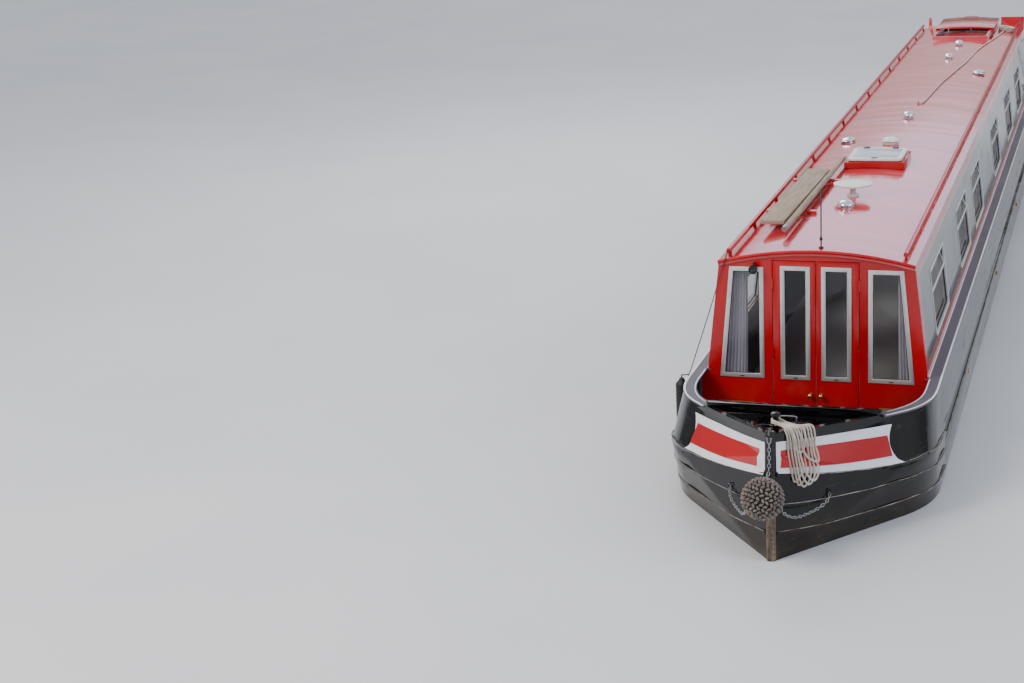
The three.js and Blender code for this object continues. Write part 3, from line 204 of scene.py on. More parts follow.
def end_lining(paint, outside):
    """The inner faces of the bulkheads are faced with pale oak ply."""
    x, y = add(paint, "SeparateXYZ", {0: paint.point}, out=slice(2))
    along = add(paint, "Math", {0: y}, operation="ABSOLUTE")
    behind = add(paint, "Math", {0: along, 1: -CABIN_FRONT - 0.04}, operation="LESS_THAN")
    across = add(paint, "Math", {0: x}, operation="ABSOLUTE")
    within = add(paint, "Math", {0: across, 1: 0.72}, operation="LESS_THAN")
    grain = paint.patches(14, (6, 6, 0.3), detail=6)
    lined = add(paint, "Math", {0: behind, 1: within}, operation="MULTIPLY")
    oak = add(paint, "Mix", {0: grain, 6: "b58d5c", 7: "94703f"}, **COLOUR)
    return add(paint, "Mix", {0: lined, 6: outside, 7: oak}, **COLOUR)


materials = {}

# Coach enamel: a saturated signal red under a hard gloss, a little browner in the worn patches
materials["red_enamel"] = coach_enamel("coach_enamel_red", "c0101a", "a80e16", "c08a84", 0.1).made
materials["cabin_side"] = coach_enamel(
    "coach_enamel_red_and_green", "c0101a", "a80e16", "c08a84", 0.05, side_lining, coat=0.35).made
materials["bulkhead"] = coach_enamel(
    "coach_enamel_red_bulkhead", "bd0f18", "a00d15", "c08a84", 0.05, end_lining).made
# The well's maroon, browner and softer
materials["maroon_enamel"] = coach_enamel("coach_enamel_maroon", "8a151b", "6e1216", "a08078").made
# Signwriter's enamel, flat and fresh: a deeper red on a cool white, and a whiter one for the lines, which
# also paints the highlight along the capping's outer edge
materials["panel_red"] = coach_enamel("signwriters_enamel_red", "b80e17", "a60d15", "c08a84", 0.05).made
materials["panel_white"] = coach_enamel("signwriters_enamel_white", "eceef4", "e0e3ec", "b9b3a8", 0.3).made
materials["line_and_highlight_white"] = coach_enamel("coach_line_and_highlight_enamel", "fafafc", "eeecf0", "b9b3a8", 0.2).made

# Roof enamel: the same red, bloomed by weather, with a pale pink film in bands across the roof that is partly
# dust and partly painted sheen of the sky
materials["roof"] = coach_enamel("roof_enamel_red", "d42c38", "c01e2a", "f0b4c0", 0.45, coat=0.8,
                                 waves=(0.3, 1.6, 1), haze=0.08, drift=(0.25, 1.5, 1)).made

# Gloss black on the hull: near black, wavy plate, brown scuffs where it rubs, silt near the waterline
hull = Finish("gloss_hull_black", specular_ior_level=0.3, coat_weight=0.12, coat_roughness=0.03, ior=1.5)
scuff = hull.patches(9, (1, 0.18, 3), detail=8, rough=0.65, low=0.56, high=0.72)
level = add(hull, "SeparateXYZ", {0: hull.point}, out="Z")
wet = add(hull, "MapRange", {"Value": level, "From Min": 0.95, "From Max": 0.5})
silt = add(hull, "Math", {
    0: wet, 1: hull.patches(3, (1, 0.5, 2), detail=6, low=0.3, high=0.7)}, operation="MULTIPLY")
tone = add(hull, "Mix", {
    0: add(hull, "Math", {0: scuff, 1: 0.55}, operation="MULTIPLY"), 6: "08080a", 7: "3c332c"}, **COLOUR)
hull.set("Base Color", add(hull, "Mix", {
    0: add(hull, "Math", {0: silt, 1: 0.45}, operation="MULTIPLY"), 6: tone, 7: "5b4a38"}, **COLOUR))
hull.set("Roughness", add(hull, "MapRange", {"Value": scuff, "To Min": 0.08, "To Max": 0.45}))
hull.set("Normal", add(hull, "Bump", {
    "Height": hull.patches(1.7, (1, 0.6, 1.4), detail=1), "Distance": 0.003}))
materials["black_enamel"] = hull.made

# Bitumen blacking: matt, rolled on thick, with rust bleeding through in freckles
bitumen = Finish("bitumen_blacking", ior=1.5)
rust = bitumen.patches(26, detail=8, rough=0.7, low=0.6, high=0.7)
level = add(bitumen, "SeparateXYZ", {0: bitumen.point}, out="Z")
wet = add(bitumen, "MapRange", {"Value": level, "From Min": 0.2, "From Max": 0.6})
weed = add(bitumen, "Math", {0: wet, 1: bitumen.patches(7, (1, 1, 0.4), detail=5)}, operation="MULTIPLY")
dull = add(bitumen, "Mix", {
    0: add(bitumen, "Math", {0: rust, 1: 0.7}, operation="MULTIPLY"), 6: "17171a", 7: "5d3520"}, **COLOUR)
bitumen.set("Base Color", add(bitumen, "Mix", {
    0: add(bitumen, "Math", {0: weed, 1: 0.5}, operation="MULTIPLY"), 6: dull, 7: "3c3a26"}, **COLOUR))
bitumen.set("Roughness", add(bitumen, "MapRange", {"Value": rust, "To Min": 0.5, "To Max": 0.8}))
bitumen.set("Normal", add(bitumen, "Bump", {"Height": bitumen.patches(60, detail=5), "Distance": 0.0012}))
materials["hull_blacking"] = bitumen.made

# Deck paint with sand in it: slate grey, matt, grit of about 4 mm so that it shows, scuffed paler
deck = Finish("gritted_deck_paint", ior=1.45)
worn = deck.patches(4, (1, 0.5, 1), detail=7, rough=0.6, low=0.45, high=0.75)
deck.vary(worn, "4a4a56", "63626c", (0.42, 0.62))
deck.set("Normal", add(deck, "Bump", {"Height": deck.patches(240, detail=2), "Distance": 0.0009}))
materials["slate_deck_paint"] = deck.made

# Engine enamel: mid green, satin, greasy in the hollows
engine = Finish("engine_enamel_green", ior=1.5)
grease = engine.patches(8, detail=6, low=0.5, high=0.75)
engine.vary(grease, "2f5a3a", "1c2a1e", (0.35, 0.6))
engine.set("Normal", add(engine, "Bump", {"Height": engine.patches(90, detail=2), "Distance": 0.0006}))
materials["green_enamel"] = engine.made

# Stem bar: gloss black above the fender, worn to brown steel with rust freckles below it
stem = Finish("worn_stem_steel", ior=1.5)
level = add(stem, "SeparateXYZ", {0: stem.point}, out="Z")
below = add(stem, "MapRange", {"Value": level, "From Min": 1.12, "From Max": 0.95})
bare = add(stem, "Math", {
    0: below, 1: stem.patches(14, (1, 1, 0.5), detail=7, low=0.25, high=0.55)}, operation="MULTIPLY")
fleck = stem.patches(60, detail=6, low=0.5, high=0.65)
metal = add(stem, "Mix", {0: fleck, 6: "7a6a58", 7: "5c3f2b"}, **COLOUR)
stem.set("Base Color", add(stem, "Mix", {0: bare, 6: "111114", 7: metal}, **COLOUR))
stem.set("Roughness", add(stem, "MapRange", {"Value": bare, "To Min": 0.25, "To Max": 0.65}))
stem.set("Normal", add(stem, "Bump", {"Height": stem.patches(70, detail=5), "Distance": 0.0008}))
materials["weathered_steel"] = stem.made

# Guard irons' edges: paint rubbed through to steel, brushed bright by lock walls, brown in between; the pale
# bright colour is also a painted highlight along the irons' tops
wear_and_highlight = Finish("rubbed_and_highlit_iron_edge", metallic=0.4)
rust = wear_and_highlight.patches(11, (1, 0.3, 1), detail=7, rough=0.65, low=0.35, high=0.62)
wear_and_highlight.vary(rust, "c9c2b6", "5d4c3e", (0.3, 0.6))
materials["worn_and_highlit_iron"] = wear_and_highlight.made

# Oiled ply deck boards: brown, grain along the boat, trodden darker
ply = Finish("oiled_deck_ply", ior=1.45)
grain = ply.patches(18, (5, 0.25, 5), detail=8, rough=0.6)
tread = ply.patches(3, detail=4)
trodden = add(ply, "Math", {0: tread, 1: 0.5}, operation="MULTIPLY")
brown = add(ply, "Mix", {0: grain, 6: "8d6a45", 7: "6d4f33"}, **COLOUR)
ply.set("Base Color", add(ply, "Mix", {0: trodden, 6: brown, 7: "4a3b2e"}, **COLOUR))
ply.set("Roughness", add(ply, "MapRange", {"Value": tread, "To Min": 0.5, "To Max": 0.72}))
ply.set("Normal", add(ply, "Bump", {"Height": grain, "Distance": 0.0005}))
materials["deck_ply"] = ply.made

# Bare softwood left outdoors: silvery brown, open grain along its length, dark in the shakes
timber = Finish("weathered_softwood", ior=1.4, roughness=0.85)
grain = timber.patches(22, (6, 0.2, 6), detail=9, rough=0.65)
shake = timber.patches(30, (8, 0.12, 8), detail=4, low=0.6, high=0.68)
pale = add(timber, "Mix", {0: grain, 6: "b5a590", 7: "8a7d70"}, **COLOUR)
timber.set("Base Color", add(timber, "Mix", {0: shake, 6: pale, 7: "564c44"}, **COLOUR))
timber.set("Normal", add(timber, "Bump", {
    "Height": timber.patches(22, (6, 0.2, 6), detail=9, rough=0.65), "Distance": 0.0015}))
materials["weathered_wood"] = timber.made

# Varnished ash of the tiller's grip: honey brown, close grain along it, glossy
ash = Finish("varnished_ash", coat_weight=0.8, coat_roughness=0.08, ior=1.5)
grain = ash.patches(40, (8, 0.6, 8), detail=6)
ash.vary(grain, "a8713c", "7d4e26", (0.3, 0.45))
materials["varnished_ash"] = ash.made

# Ceiling ply: pale, painted cream and dulled by lamp smoke
cream = Finish("painted_ceiling_ply", ior=1.45)
smoke = cream.patches(2.5, detail=5)
cream.vary(smoke, "cfc6b0", "b8ad94", (0.55, 0.75))
cream.set("Normal", add(cream, "Bump", {
    "Height": cream.patches(30, (5, 0.3, 5), detail=5), "Distance": 0.0003}))
materials["ceiling_ply"] = cream.made

# Hot dip galvanised steel: dull grey with a spangle of about 15 mm
zinc = Finish("galvanised_steel", metallic=1.0)
cells = add(zinc, "TexVoronoi", {"Vector": zinc.point, "Scale": 65.0}, out="Distance")
zinc.vary(cells, "b4b6b8", "8e9194", (0.34, 0.55))
materials["galvanised_steel"] = zinc.made

# Anodised aluminium: pale satin silver, drawn lines along the section, a bloom of dirt
silver = Finish("anodised_aluminium", metallic=0.75)
bloom = silver.patches(12, detail=5, low=0.45, high=0.8)
silver.vary(bloom, "dfe0e2", "c3c5c7", (0.42, 0.6))
silver.set("Normal", add(silver, "Bump", {
    "Height": silver.patches(300, (1, 0.1, 1), detail=1), "Distance": 0.00003}))
materials["aluminium"] = silver.made

# Toughened window glass: clear with a cool tint, flat but for a slow wave in the reflections
glass = Finish("toughened_glass", alpha=0.17, ior=1.52, specular_ior_level=0.9, coat_weight=0.6,
               coat_roughness=0.01, base_color=linear("10171a"))
glass.set("Roughness", add(glass, "MapRange", {
    "Value": glass.patches(6, detail=5, low=0.5, high=0.9), "To Min": 0.01, "To Max": 0.08}))
glass.set("Normal", add(glass, "Bump", {"Height": glass.patches(3, detail=1), "Distance": 0.0006}))
materials["glass"] = glass.made

# Acrylic glazing of the skylight: milky, bluish white
acrylic = Finish("opal_acrylic", ior=1.49, transmission_weight=0.25, subsurface_weight=0.2)
haze = acrylic.patches(7, detail=5)
acrylic.vary(haze, "d2dcea", "bcc8d8", (0.12, 0.35))
materials["acrylic"] = acrylic.made

# Cast bronze under water: brown gold, tarnished green black in the hollows
bronze = Finish("cast_bronze", metallic=1.0)
tarnish = bronze.patches(22, detail=6, low=0.4, high=0.7)
bronze.vary(tarnish, "a8843f", "4d4a2e", (0.28, 0.62))
bronze.set("Normal", add(bronze, "Bump", {"Height": bronze.patches(120, detail=3), "Distance": 0.0004}))
materials["bronze"] = bronze.made

# Polished brass: bright yellow, with finger marks that dull it
brass = Finish("polished_brass", metallic=1.0)
marks = brass.patches(35, detail=4, low=0.5, high=0.8)
brass.vary(marks, "d9b25c", "a17f3b", (0.14, 0.4))
materials["brass"] = brass.made

# Chromed brass ventilators: mirror bright with water spots
chrome = Finish("chrome_plate", metallic=1.0)
spots = chrome.patches(50, detail=4, low=0.55, high=0.8)
chrome.vary(spots, "e6e8ec", "b6b9bd", (0.06, 0.28))
materials["chrome"] = chrome.made

# White ABS: moulded, semi gloss, chalking and streaked grey by rain
abs_white = Finish("moulded_abs_white", ior=1.53, subsurface_weight=0.05)
streak = abs_white.patches(20, (1, 1, 0.3), detail=6, low=0.5, high=0.8)
abs_white.vary(streak, "e9e9e6", "c2c0b8", (0.3, 0.55))
materials["white_plastic"] = abs_white.made

# Black moulded plastic: fine grain of about 3 mm so that it shows, greyed by the sun
abs_black = Finish("moulded_plastic_black", ior=1.5)
grey = abs_black.patches(15, detail=5, low=0.5, high=0.85)
abs_black.vary(grey, "1c1c1e", "343436", (0.4, 0.6))
abs_black.set("Normal", add(abs_black, "Bump", {
    "Height": abs_black.patches(320, detail=1), "Distance": 0.0002}))
materials["black_plastic"] = abs_black.made

# Fender rope, old and tarred: grey brown, hairy, dark between the turns
tarred = Finish("tarred_fender_rope", roughness=0.92, ior=1.4, sheen_weight=0.3)
hair = tarred.patches(260, (1, 1, 0.4), detail=5)
blotch = tarred.patches(13, detail=5)
tarred.set("Base Color", add(tarred, "Mix", {
    0: hair, 6: add(tarred, "Mix", {0: blotch, 6: "9d9189", 7: "82766d"}, **COLOUR), 7: "51463f"}, **COLOUR))
tarred.set("Normal", add(tarred, "Bump", {"Height": hair, "Distance": 0.0015}))
materials["tarred_rope"] = tarred.made

# Heart of a fender, seen between the hitches: nearly black with tar, dusty
heart = Finish("tarred_fender_heart", roughness=0.95, ior=1.4)
dusting = heart.patches(40, detail=5)
heart.vary(dusting, "1d1916", "332c27")
heart.set("Normal", add(heart, "Bump", {"Height": heart.patches(200, detail=3), "Distance": 0.001}))
materials["fender_heart"] = heart.made

# Polyester mooring rope, three strand: off white, fuzzy, soiled in patches
mooring = Finish("three_strand_rope", roughness=0.88, ior=1.45, sheen_weight=0.4)
fibre = mooring.patches(420, (1, 1, 0.5), detail=3)
soil = mooring.patches(9, detail=6, low=0.45, high=0.8)
clean = add(mooring, "Mix", {0: fibre, 6: "dcd2c4", 7: "b7aa9a"}, **COLOUR)
mooring.set("Base Color", add(mooring, "Mix", {
    0: add(mooring, "Math", {0: soil, 1: 0.6}, operation="MULTIPLY"), 6: clean, 7: "8c7f6f"}, **COLOUR))
mooring.set("Normal", add(mooring, "Bump", {"Height": fibre, "Distance": 0.0006}))
materials["mooring_rope"] = mooring.made

# Black braided cord: matt, with a fine braid
cord_black = Finish("braided_cord_black", roughness=0.8, ior=1.45, sheen_weight=0.2)
braid = cord_black.patches(500, detail=2)
cord_black.vary(braid, "141416", "2c2c30")
cord_black.set("Normal", add(cord_black, "Bump", {"Height": braid, "Distance": 0.0006}))
materials["black_cord"] = cord_black.made

# Rubber: black, matt, rubbed grey along the ridges
rubber = Finish("fender_rubber", ior=1.5)
wear_and_highlight = rubber.patches(18, (1, 1, 0.5), detail=7, low=0.5, high=0.75)
rubber.vary(wear_and_highlight, "141415", "3a3938", (0.55, 0.85))
rubber.set("Normal", add(rubber, "Bump", {"Height": rubber.patches(140, detail=3), "Distance": 0.0004}))
materials["black_rubber"] = rubber.made

# Curtain cotton: lilac white, plain weave drawn at 4 mm so that it shows, light passes through
cotton = Finish("curtain_cotton", roughness=0.9, ior=1.4, sheen_weight=0.5, transmission_weight=0.1)
weave = cotton.patches(250, (1, 1, 1), detail=1)
cotton.vary(weave, "f4f1fa", "e6e2f0")
cotton.set("Normal", add(cotton, "Bump", {"Height": weave, "Distance": 0.0005}))
materials["curtain"] = cotton.made

# Zinc anodes: cast, chalky grey with pits
anode = Finish("cast_zinc", metallic=0.6)
pits = anode.patches(45, detail=6, low=0.4, high=0.7)
anode.vary(pits, "a9aaa8", "6b6a66", (0.5, 0.8))
anode.set("Normal", add(anode, "Bump", {"Height": pits, "Distance": 0.002}))
materials["zinc"] = anode.made

FINISH_OF_SLOT = {"window_unit": "aluminium"}
NODE_FINISH = {
    "cabin_side_port": "cabin_side", "cabin_side_starboard": "cabin_side",
    "front_bulkhead": "bulkhead", "rear_bulkhead": "bulkhead", "roof": "roof",
}
slots = {part["node"]: part["material_slot"] for part in frame["record"]["subparts"]}
for name, node in frame["nodes"].items():
    slot = slots[name]
    node.data.materials.clear()
    node.data.materials.append(materials[NODE_FINISH.get(name, FINISH_OF_SLOT.get(slot, slot))])


# Making pieces

def piece(name, mesh, finish, body="root", angle=35):
    """A finished piece of the boat from a bmesh or a mesh, with its edges sharp above an angle."""
    if isinstance(mesh, bmesh.types.BMesh):
        made = bpy.data.meshes.new(name)
        mesh.to_mesh(made)
        mesh.free()
    else:
        made = mesh
    made.shade_smooth()
    made.set_sharp_from_angle(angle=radians(angle))
    made.materials.clear()
    made.materials.append(materials[finish])
    thing = bpy.data.objects.new(name, made)
    bpy.context.scene.collection.objects.link(thing)
    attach(thing, body)
    return thing


def block(bm, low, high, edge=0.003, segments=2):
    """A box between two corners with its edges rounded."""
    low, high = Vector(low), Vector(high)
    made = bmesh.ops.create_cube(bm, size=1)["verts"]
    bmesh.ops.scale(bm, vec=high - low, verts=made)
    bmesh.ops.translate(bm, vec=(low + high) / 2, verts=made)
    if edge:
        edges = {e for v in made for e in v.link_edges}
        bmesh.ops.bevel(bm, geom=list(edges), offset=edge, segments=segments, profile=0.5,
                        affect="EDGES", material=-1)


def shape(points):
    """One flat face through points in the XY plane, in a bmesh of its own."""
    bm = bmesh.new()
    bm.faces.new([bm.verts.new((x, y, 0)) for x, y in points])
    return bm


def rounded(bm, corner, steps=5):
    """Rounds the corners of a flat face."""
    bmesh.ops.bevel(bm, geom=list(bm.verts), offset=corner, segments=steps, profile=0.5,
                    affect="VERTICES", material=-1)
    return bm


def oblong(width, height, corner=0.02):
    """A rectangle with rounded corners about the origin, one face in the XY plane."""
    return rounded(shape([(-width / 2, -height / 2), (width / 2, -height / 2),
                          (width / 2, height / 2), (-width / 2, height / 2)]), corner)


def thick(bm, depth, edge=0.0):
    """A flat face made a slab from the XY plane up, with its edges rounded."""
    made = bmesh.ops.extrude_face_region(bm, geom=bm.faces[:])["geom"]
    bmesh.ops.translate(bm, vec=(0, 0, depth), verts=[v for v in made if isinstance(v, bmesh.types.BMVert)])
    bmesh.ops.recalc_face_normals(bm, faces=bm.faces)
    if edge:
        sharp = [e for e in bm.edges if e.calc_face_angle(0) > radians(60)]
        bmesh.ops.bevel(bm, geom=sharp, offset=edge, segments=2, profile=0.5, affect="EDGES", material=-1)
    return bm


def border(bm, width, depth, edge=0.0):
    """A flat face made a frame of that width, standing on the XY plane."""
    bm.normal_update()
    rim = set(bmesh.ops.inset_region(bm, faces=bm.faces[:], thickness=width, use_boundary=True,
                                     use_even_offset=True)["faces"])
    bmesh.ops.delete(bm, geom=[f for f in bm.faces if f not in rim], context="FACES")
    return thick(bm, depth, edge)


def gather(parts, whole=None):
    """One bmesh of several, each with the matrix that puts it in place."""
    whole = whole or bmesh.new()
    for part, place in parts:
        part.transform(place)
        if place.is_negative:
            bmesh.ops.reverse_faces(part, faces=part.faces)
        mesh = bpy.data.meshes.new("part")
        part.to_mesh(mesh)
        part.free()
        whole.from_mesh(mesh)
        bpy.data.meshes.remove(mesh)
    return whole


def stand(origin, x_axis, y_axis):
    """The matrix that puts the XY plane at a place, with the axes given."""
    x, y = Vector(x_axis).normalized(), Vector(y_axis).normalized()
    z = x.cross(y)
    return Matrix.Translation(Vector(origin)) @ Matrix((x, y, z)).transposed().to_4x4()


WELD = 0.00001  # doubles nearer than this are one corner


def lathe(profile, steps=28):
    """A solid turned round Z from its profile of (radius, height), closed at both ends."""
    bm = bmesh.new()
    line = [bm.verts.new((r, 0, z)) for r, z in profile]
    edges = [bm.edges.new(pair) for pair in zip(line, line[1:])]
    bmesh.ops.spin(bm, geom=line + edges, cent=(0, 0, 0), axis=(0, 0, 1), angle=tau, steps=steps,
                   use_merge=True)
    bmesh.ops.remove_doubles(bm, verts=bm.verts, dist=WELD)
    bmesh.ops.dissolve_degenerate(bm, edges=bm.edges, dist=WELD)
    bmesh.ops.holes_fill(bm, edges=bm.edges, sides=0)
    bmesh.ops.recalc_face_normals(bm, faces=bm.faces)
    return bm


def smooth_line(points, step):
    """A smooth line through points, with a point every step of its length."""
    points = [Vector(p) for p in points]
    fine = []
    for a, b, c, d in zip([points[0], *points], points, points[1:], [*points[2:], points[-1]]):
        parts = max(4, int((c - b).length / step) * 2)
        for i in range(parts):
            t = i / parts
            fine.append(0.5 * (2 * b + (c - a) * t + (2 * a - 5 * b + 4 * c - d) * t * t
                               + (3 * b - a - 3 * c + d) * t ** 3))
    return even(fine + [points[-1]], step)


def even(points, step):
    """The same line with points a step apart, its ends kept."""
    total = sum((b - a).length for a, b in zip(points, points[1:]))
    count = max(2, round(total / step))
    out, run, wanted = [points[0]], 0.0, total / count
    for a, b in zip(points, points[1:]):
        length = (b - a).length
        while length > 0 and run + length >= wanted * len(out) and len(out) < count:
            out.append(a.lerp(b, (wanted * len(out) - run) / length))
        run += length
    return out + [points[-1]]


def length_of(line):
    """The length of a line given as points."""
    return sum((b - a).length for a, b in zip(line, line[1:]))


def tube_mesh(name, line, radius, lay=0.0, lobes=0):
    """A tube along a line. With lobes it is laid rope: so many strands, one turn in each lay."""
    sides = lobes * 6 if lobes else 10
    ring = bpy.data.curves.new(name + "_section", "CURVE")
    ring.dimensions = "3D"
    outline = ring.splines.new("POLY")
    outline.points.add(sides - 1)
    outline.use_cyclic_u = True
    for i, point in enumerate(outline.points):
        turn = tau * i / sides
        out = radius * (0.76 + 0.24 * abs(cos(lobes * turn / 2))) if lobes else radius
        point.co = (out * cos(turn), out * sin(turn), 0, 1)
    section = bpy.data.objects.new(name + "_section", ring)
    path = bpy.data.curves.new(name + "_path", "CURVE")
    path.dimensions = "3D"
    path.twist_mode = "MINIMUM"
    path.bevel_mode = "OBJECT"
    path.bevel_object = section
    path.use_fill_caps = True
    spline = path.splines.new("POLY")
    spline.points.add(len(line) - 1)
    run = 0.0
    for i, (point, place) in enumerate(zip(spline.points, line)):
        run += (place - line[i - 1]).length if i else 0
        point.co = (*place, 1)
        point.tilt = tau * run / lay if lay else 0
    holder = bpy.data.objects.new(name + "_path", path)
    bpy.context.scene.collection.objects.link(section)
    bpy.context.scene.collection.objects.link(holder)
    bpy.context.view_layer.update()
    mesh = bpy.data.meshes.new_from_object(holder.evaluated_get(bpy.context.evaluated_depsgraph_get()))
    mesh.name = name
    for thing, data in ((holder, path), (section, ring)):
        bpy.data.objects.remove(thing)
        bpy.data.curves.remove(data)
    bm = bmesh.new()
    bm.from_mesh(mesh)
    bmesh.ops.remove_doubles(bm, verts=bm.verts, dist=0.00002)
    bmesh.ops.recalc_face_normals(bm, faces=bm.faces)
    bm.to_mesh(mesh)
    bm.free()
    return mesh


def tree_of(*nodes):
    """A tree of the surfaces of some CAD nodes, to lay things on."""
    corners, faces = [], []
    for name in nodes:
        mesh = frame["nodes"][name].data
        start = len(corners)
        corners += [v.co.copy() for v in mesh.vertices]
        faces += [[start + i for i in f.vertices] for f in mesh.polygons]
    return BVHTree.FromPolygons(corners, faces)


# Cords

bow_tree = tree_of("bow_shell", "hull_side_port", "hull_side_starboard")


def bow_side(y, z, out, side=1):
    """A point outside the bow plates at that place and level."""
    hit, normal, _, _ = bow_tree.ray_cast(Vector((side * 2, y, z)), Vector((-side, 0, 0)))
    flat = Vector((normal.x, normal.y, 0)).normalized()
    return hit + flat * out


ROPE, LINE = 0.008, 0.005  # radii
SHEER, SHEER_LONG, RIM = 0.17, 1.57, 0.012  # rise of the bow's top edge, over what length, and its lip


def rim_level(y):
    """Top of the bow plates, which rise towards the stem."""
    return GUNWALE + RIM + SHEER * max(0, (STEM + SHEER_LONG - y) / SHEER_LONG) ** 1.5


# Loops of the bow rope: where both strands cross the rim and where the bight hangs, behind the stem,
# the level of the bight above the gunwale, and how far out of the plates the loop lies
LOOPS = (
    (0.118, 0.208, 0.146, -0.218, 0.012),
    (0.134, 0.236, 0.172, -0.250, 0.015),
    (0.150, 0.262, 0.200, -0.268, 0.019),
    (0.168, 0.284, 0.230, -0.258, 0.023),
    (0.186, 0.304, 0.258, -0.236, 0.026),
    (0.160, 0.252, 0.206, -0.010, 0.029),
    (0.208, 0.328, 0.284, -0.100, 0.030),
)
NECK = 0.032  # radius at which the rope passes round the stud's neck
neck_level = STUD.z - 0.055


def loop(number, fore, aft, bight, drop, out):
    """One loop from behind the stud over the rim, down the bow and back."""
    level = neck_level - 0.016 + 0.009 * (number % 3)
    bottom = GUNWALE + drop
    points = [(-NECK * 0.8, STUD.y + NECK * 0.5, level), (-NECK * 0.2, STUD.y - NECK, level)]
    legs = []
    for at in (fore, aft):
        y = STEM + at
        edge = rim_level(y)
        over = bow_side(y, edge - 0.02, 0.0)
        inner = Vector((mix(0.03, over.x, 0.55), mix(STUD.y, y, 0.55), edge + ROPE + out * 0.5 + 0.004))
        legs.append([
            inner, Vector((over.x - 0.006, over.y, edge + ROPE + out * 0.4)),
            bow_side(mix(y, STEM + bight, 0.06), edge - 0.045, out),
            bow_side(mix(y, STEM + bight, 0.12), mix(edge, bottom, 0.45), out),
            bow_side(mix(y, STEM + bight, 0.34), mix(edge, bottom, 0.82), out)])
    points += legs[0]
    points.append(bow_side(STEM + bight, bottom, out))
    points += reversed(legs[1])
    points.append((NECK * 0.4, STUD.y + NECK, level))
    return points


route = [(0, STUD.y - NECK, neck_level - 0.03), (NECK, STUD.y, neck_level - 0.028),
         (0, STUD.y + NECK, neck_level - 0.026)]
for number, row in enumerate(LOOPS):
    route += loop(number, *row)
route += [(0.10, STEM + 0.30, rim_level(STEM + 0.3) + 0.012),
          (0.165, STEM + 0.35, rim_level(STEM + 0.35) - 0.012),
          (0.215, STEM + 0.40, rim_level(STEM + 0.4) - 0.016),
          (0.24, STEM + 0.435, rim_level(STEM + 0.43) - 0.018)]
bow_line = smooth_line(route, 0.008)
bow_rope = piece("bow_rope_hank", tube_mesh("bow_rope_hank", bow_line, ROPE, 0.05, 3),
                 "mooring_rope", angle=80)
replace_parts(bow_rope, "bow_rope")

# Frayed end of the bow rope: its three strands spread out
end = bow_line[-1]
strands = []
for k in range(9):
    turn = tau * k / 9
    tip = end + Vector((0.022 + 0.008 * cos(turn), 0.024 + 0.006 * sin(turn), 0.008 * sin(turn) - 0.003))
    strands.append(tube_mesh("strand", smooth_line([end - Vector((0.004, 0.004, 0)), end.lerp(tip, 0.5), tip],
                                                   0.006), 0.0018))
fray = bmesh.new()
for mesh in strands:
    fray.from_mesh(mesh)
    bpy.data.meshes.remove(mesh)
bow_fray = piece("bow_rope_frayed_end", fray, "mooring_rope")

# Roof rope: how far to port and behind the cabin front, from its eye to the edge of its coil
ROOF_LINE = ((0.033, 7.094), (0.058, 7.098), (0.080, 7.160), (0.104, 7.600), (0.141, 8.560), (0.210, 9.560),
             (0.283, 10.596), (0.322, 11.532), (0.400, 12.450), (0.455, 12.945), (0.506, 13.500),
             (0.533, 13.905))
COIL = Vector((0.555, CABIN_FRONT + 14.03, roof_top(0.555)))
COIL_LANES = (0.106, 0.090, 0.074)  # radii of the turns in one layer
COIL_LAYERS, TURN = 4, 24
lean = Matrix.Rotation(asin(COIL.x / ROOF_RADIUS), 3, "Y")
roof_route = [Vector((x, CABIN_FRONT + y, roof_top(x) + ROPE + 0.0014)) for x, y in ROOF_LINE[:-1]]
turns = []
for layer in range(COIL_LAYERS):
    lanes = COIL_LANES if layer % 2 == 0 else COIL_LANES[::-1]
    for lane, radius in enumerate(lanes):
        following = lanes[lane + 1] if lane < 2 else radius
        for k in range(TURN):
            over = max(0, (k - TURN * 0.75) / (TURN * 0.25))
            rise = over if lane == 2 and layer < COIL_LAYERS - 1 else 0
            turn = radians(-105) + tau * k / TURN
            r = mix(radius, following, over)
            turns.append(COIL + lean @ Vector((
                r * cos(turn), r * sin(turn), ROPE * 1.05 + (layer + rise) * ROPE * 2)))
roof_line = smooth_line(roof_route + turns, 0.010)
roof_rope = piece("roof_rope_laid", tube_mesh("roof_rope_laid", roof_line, ROPE, 0.05, 3),
                  "mooring_rope", angle=80)
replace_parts(roof_rope, "roof_rope", "roof_rope_coil")


def whipping(name, line, radius, finish, turns=5):
    """A knot: the last of a cord wound round itself."""
    here, along = line[-1], (line[-1] - line[-4]).normalized()
    side = along.orthogonal().normalized()
    other = along.cross(side)
    wound = [here + along * radius * (2 * i / 10 - turns) * 0.9
             + (side * cos(tau * i / 10) + other * sin(tau * i / 10)) * radius * 1.25
             for i in range(turns * 10 + 1)]
    return piece(name, tube_mesh(name, wound, radius * 0.5), finish)


roof_knot = whipping("roof_rope_whipping", roof_line, ROPE, "mooring_rope")

# Line of the side fender, from the starboard handrail over the gunwale
RAIL_LEVEL = roof_top(RAIL_X) + 0.05
FENDER = Vector((-1.098, CABIN_FRONT - 0.06, GUNWALE - 0.07))  # the side fender's top
side_line = smooth_line([
    (-RAIL_X, CABIN_FRONT + 0.0297, RAIL_LEVEL), (-RAIL_X, CABIN_FRONT - 0.002, RAIL_LEVEL - 0.001),
    (-RAIL_X - 0.008, CABIN_FRONT - 0.032, RAIL_LEVEL - 0.034), (-0.848, CABIN_FRONT - 0.085, 1.85),
    (-1.004, CABIN_FRONT - 0.148, GUNWALE + 0.014), (-1.020, CABIN_FRONT - 0.142, GUNWALE - 0.010),
    (-1.062, CABIN_FRONT - 0.104, GUNWALE - 0.032), FENDER + Vector((0.005, -0.005, 0.026)),
    FENDER + Vector((0, 0, 0.012)), FENDER + Vector((0, 0, 0.0003))], 0.006)
side_cord = piece("side_fender_line", tube_mesh("side_fender_line", side_line, LINE, 0.02, 2),
                  "black_cord", angle=80)
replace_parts(side_cord, "side_line")


# Plates and rails: copies of the CAD pieces with their loose triangles joined, so that they shade smoothly

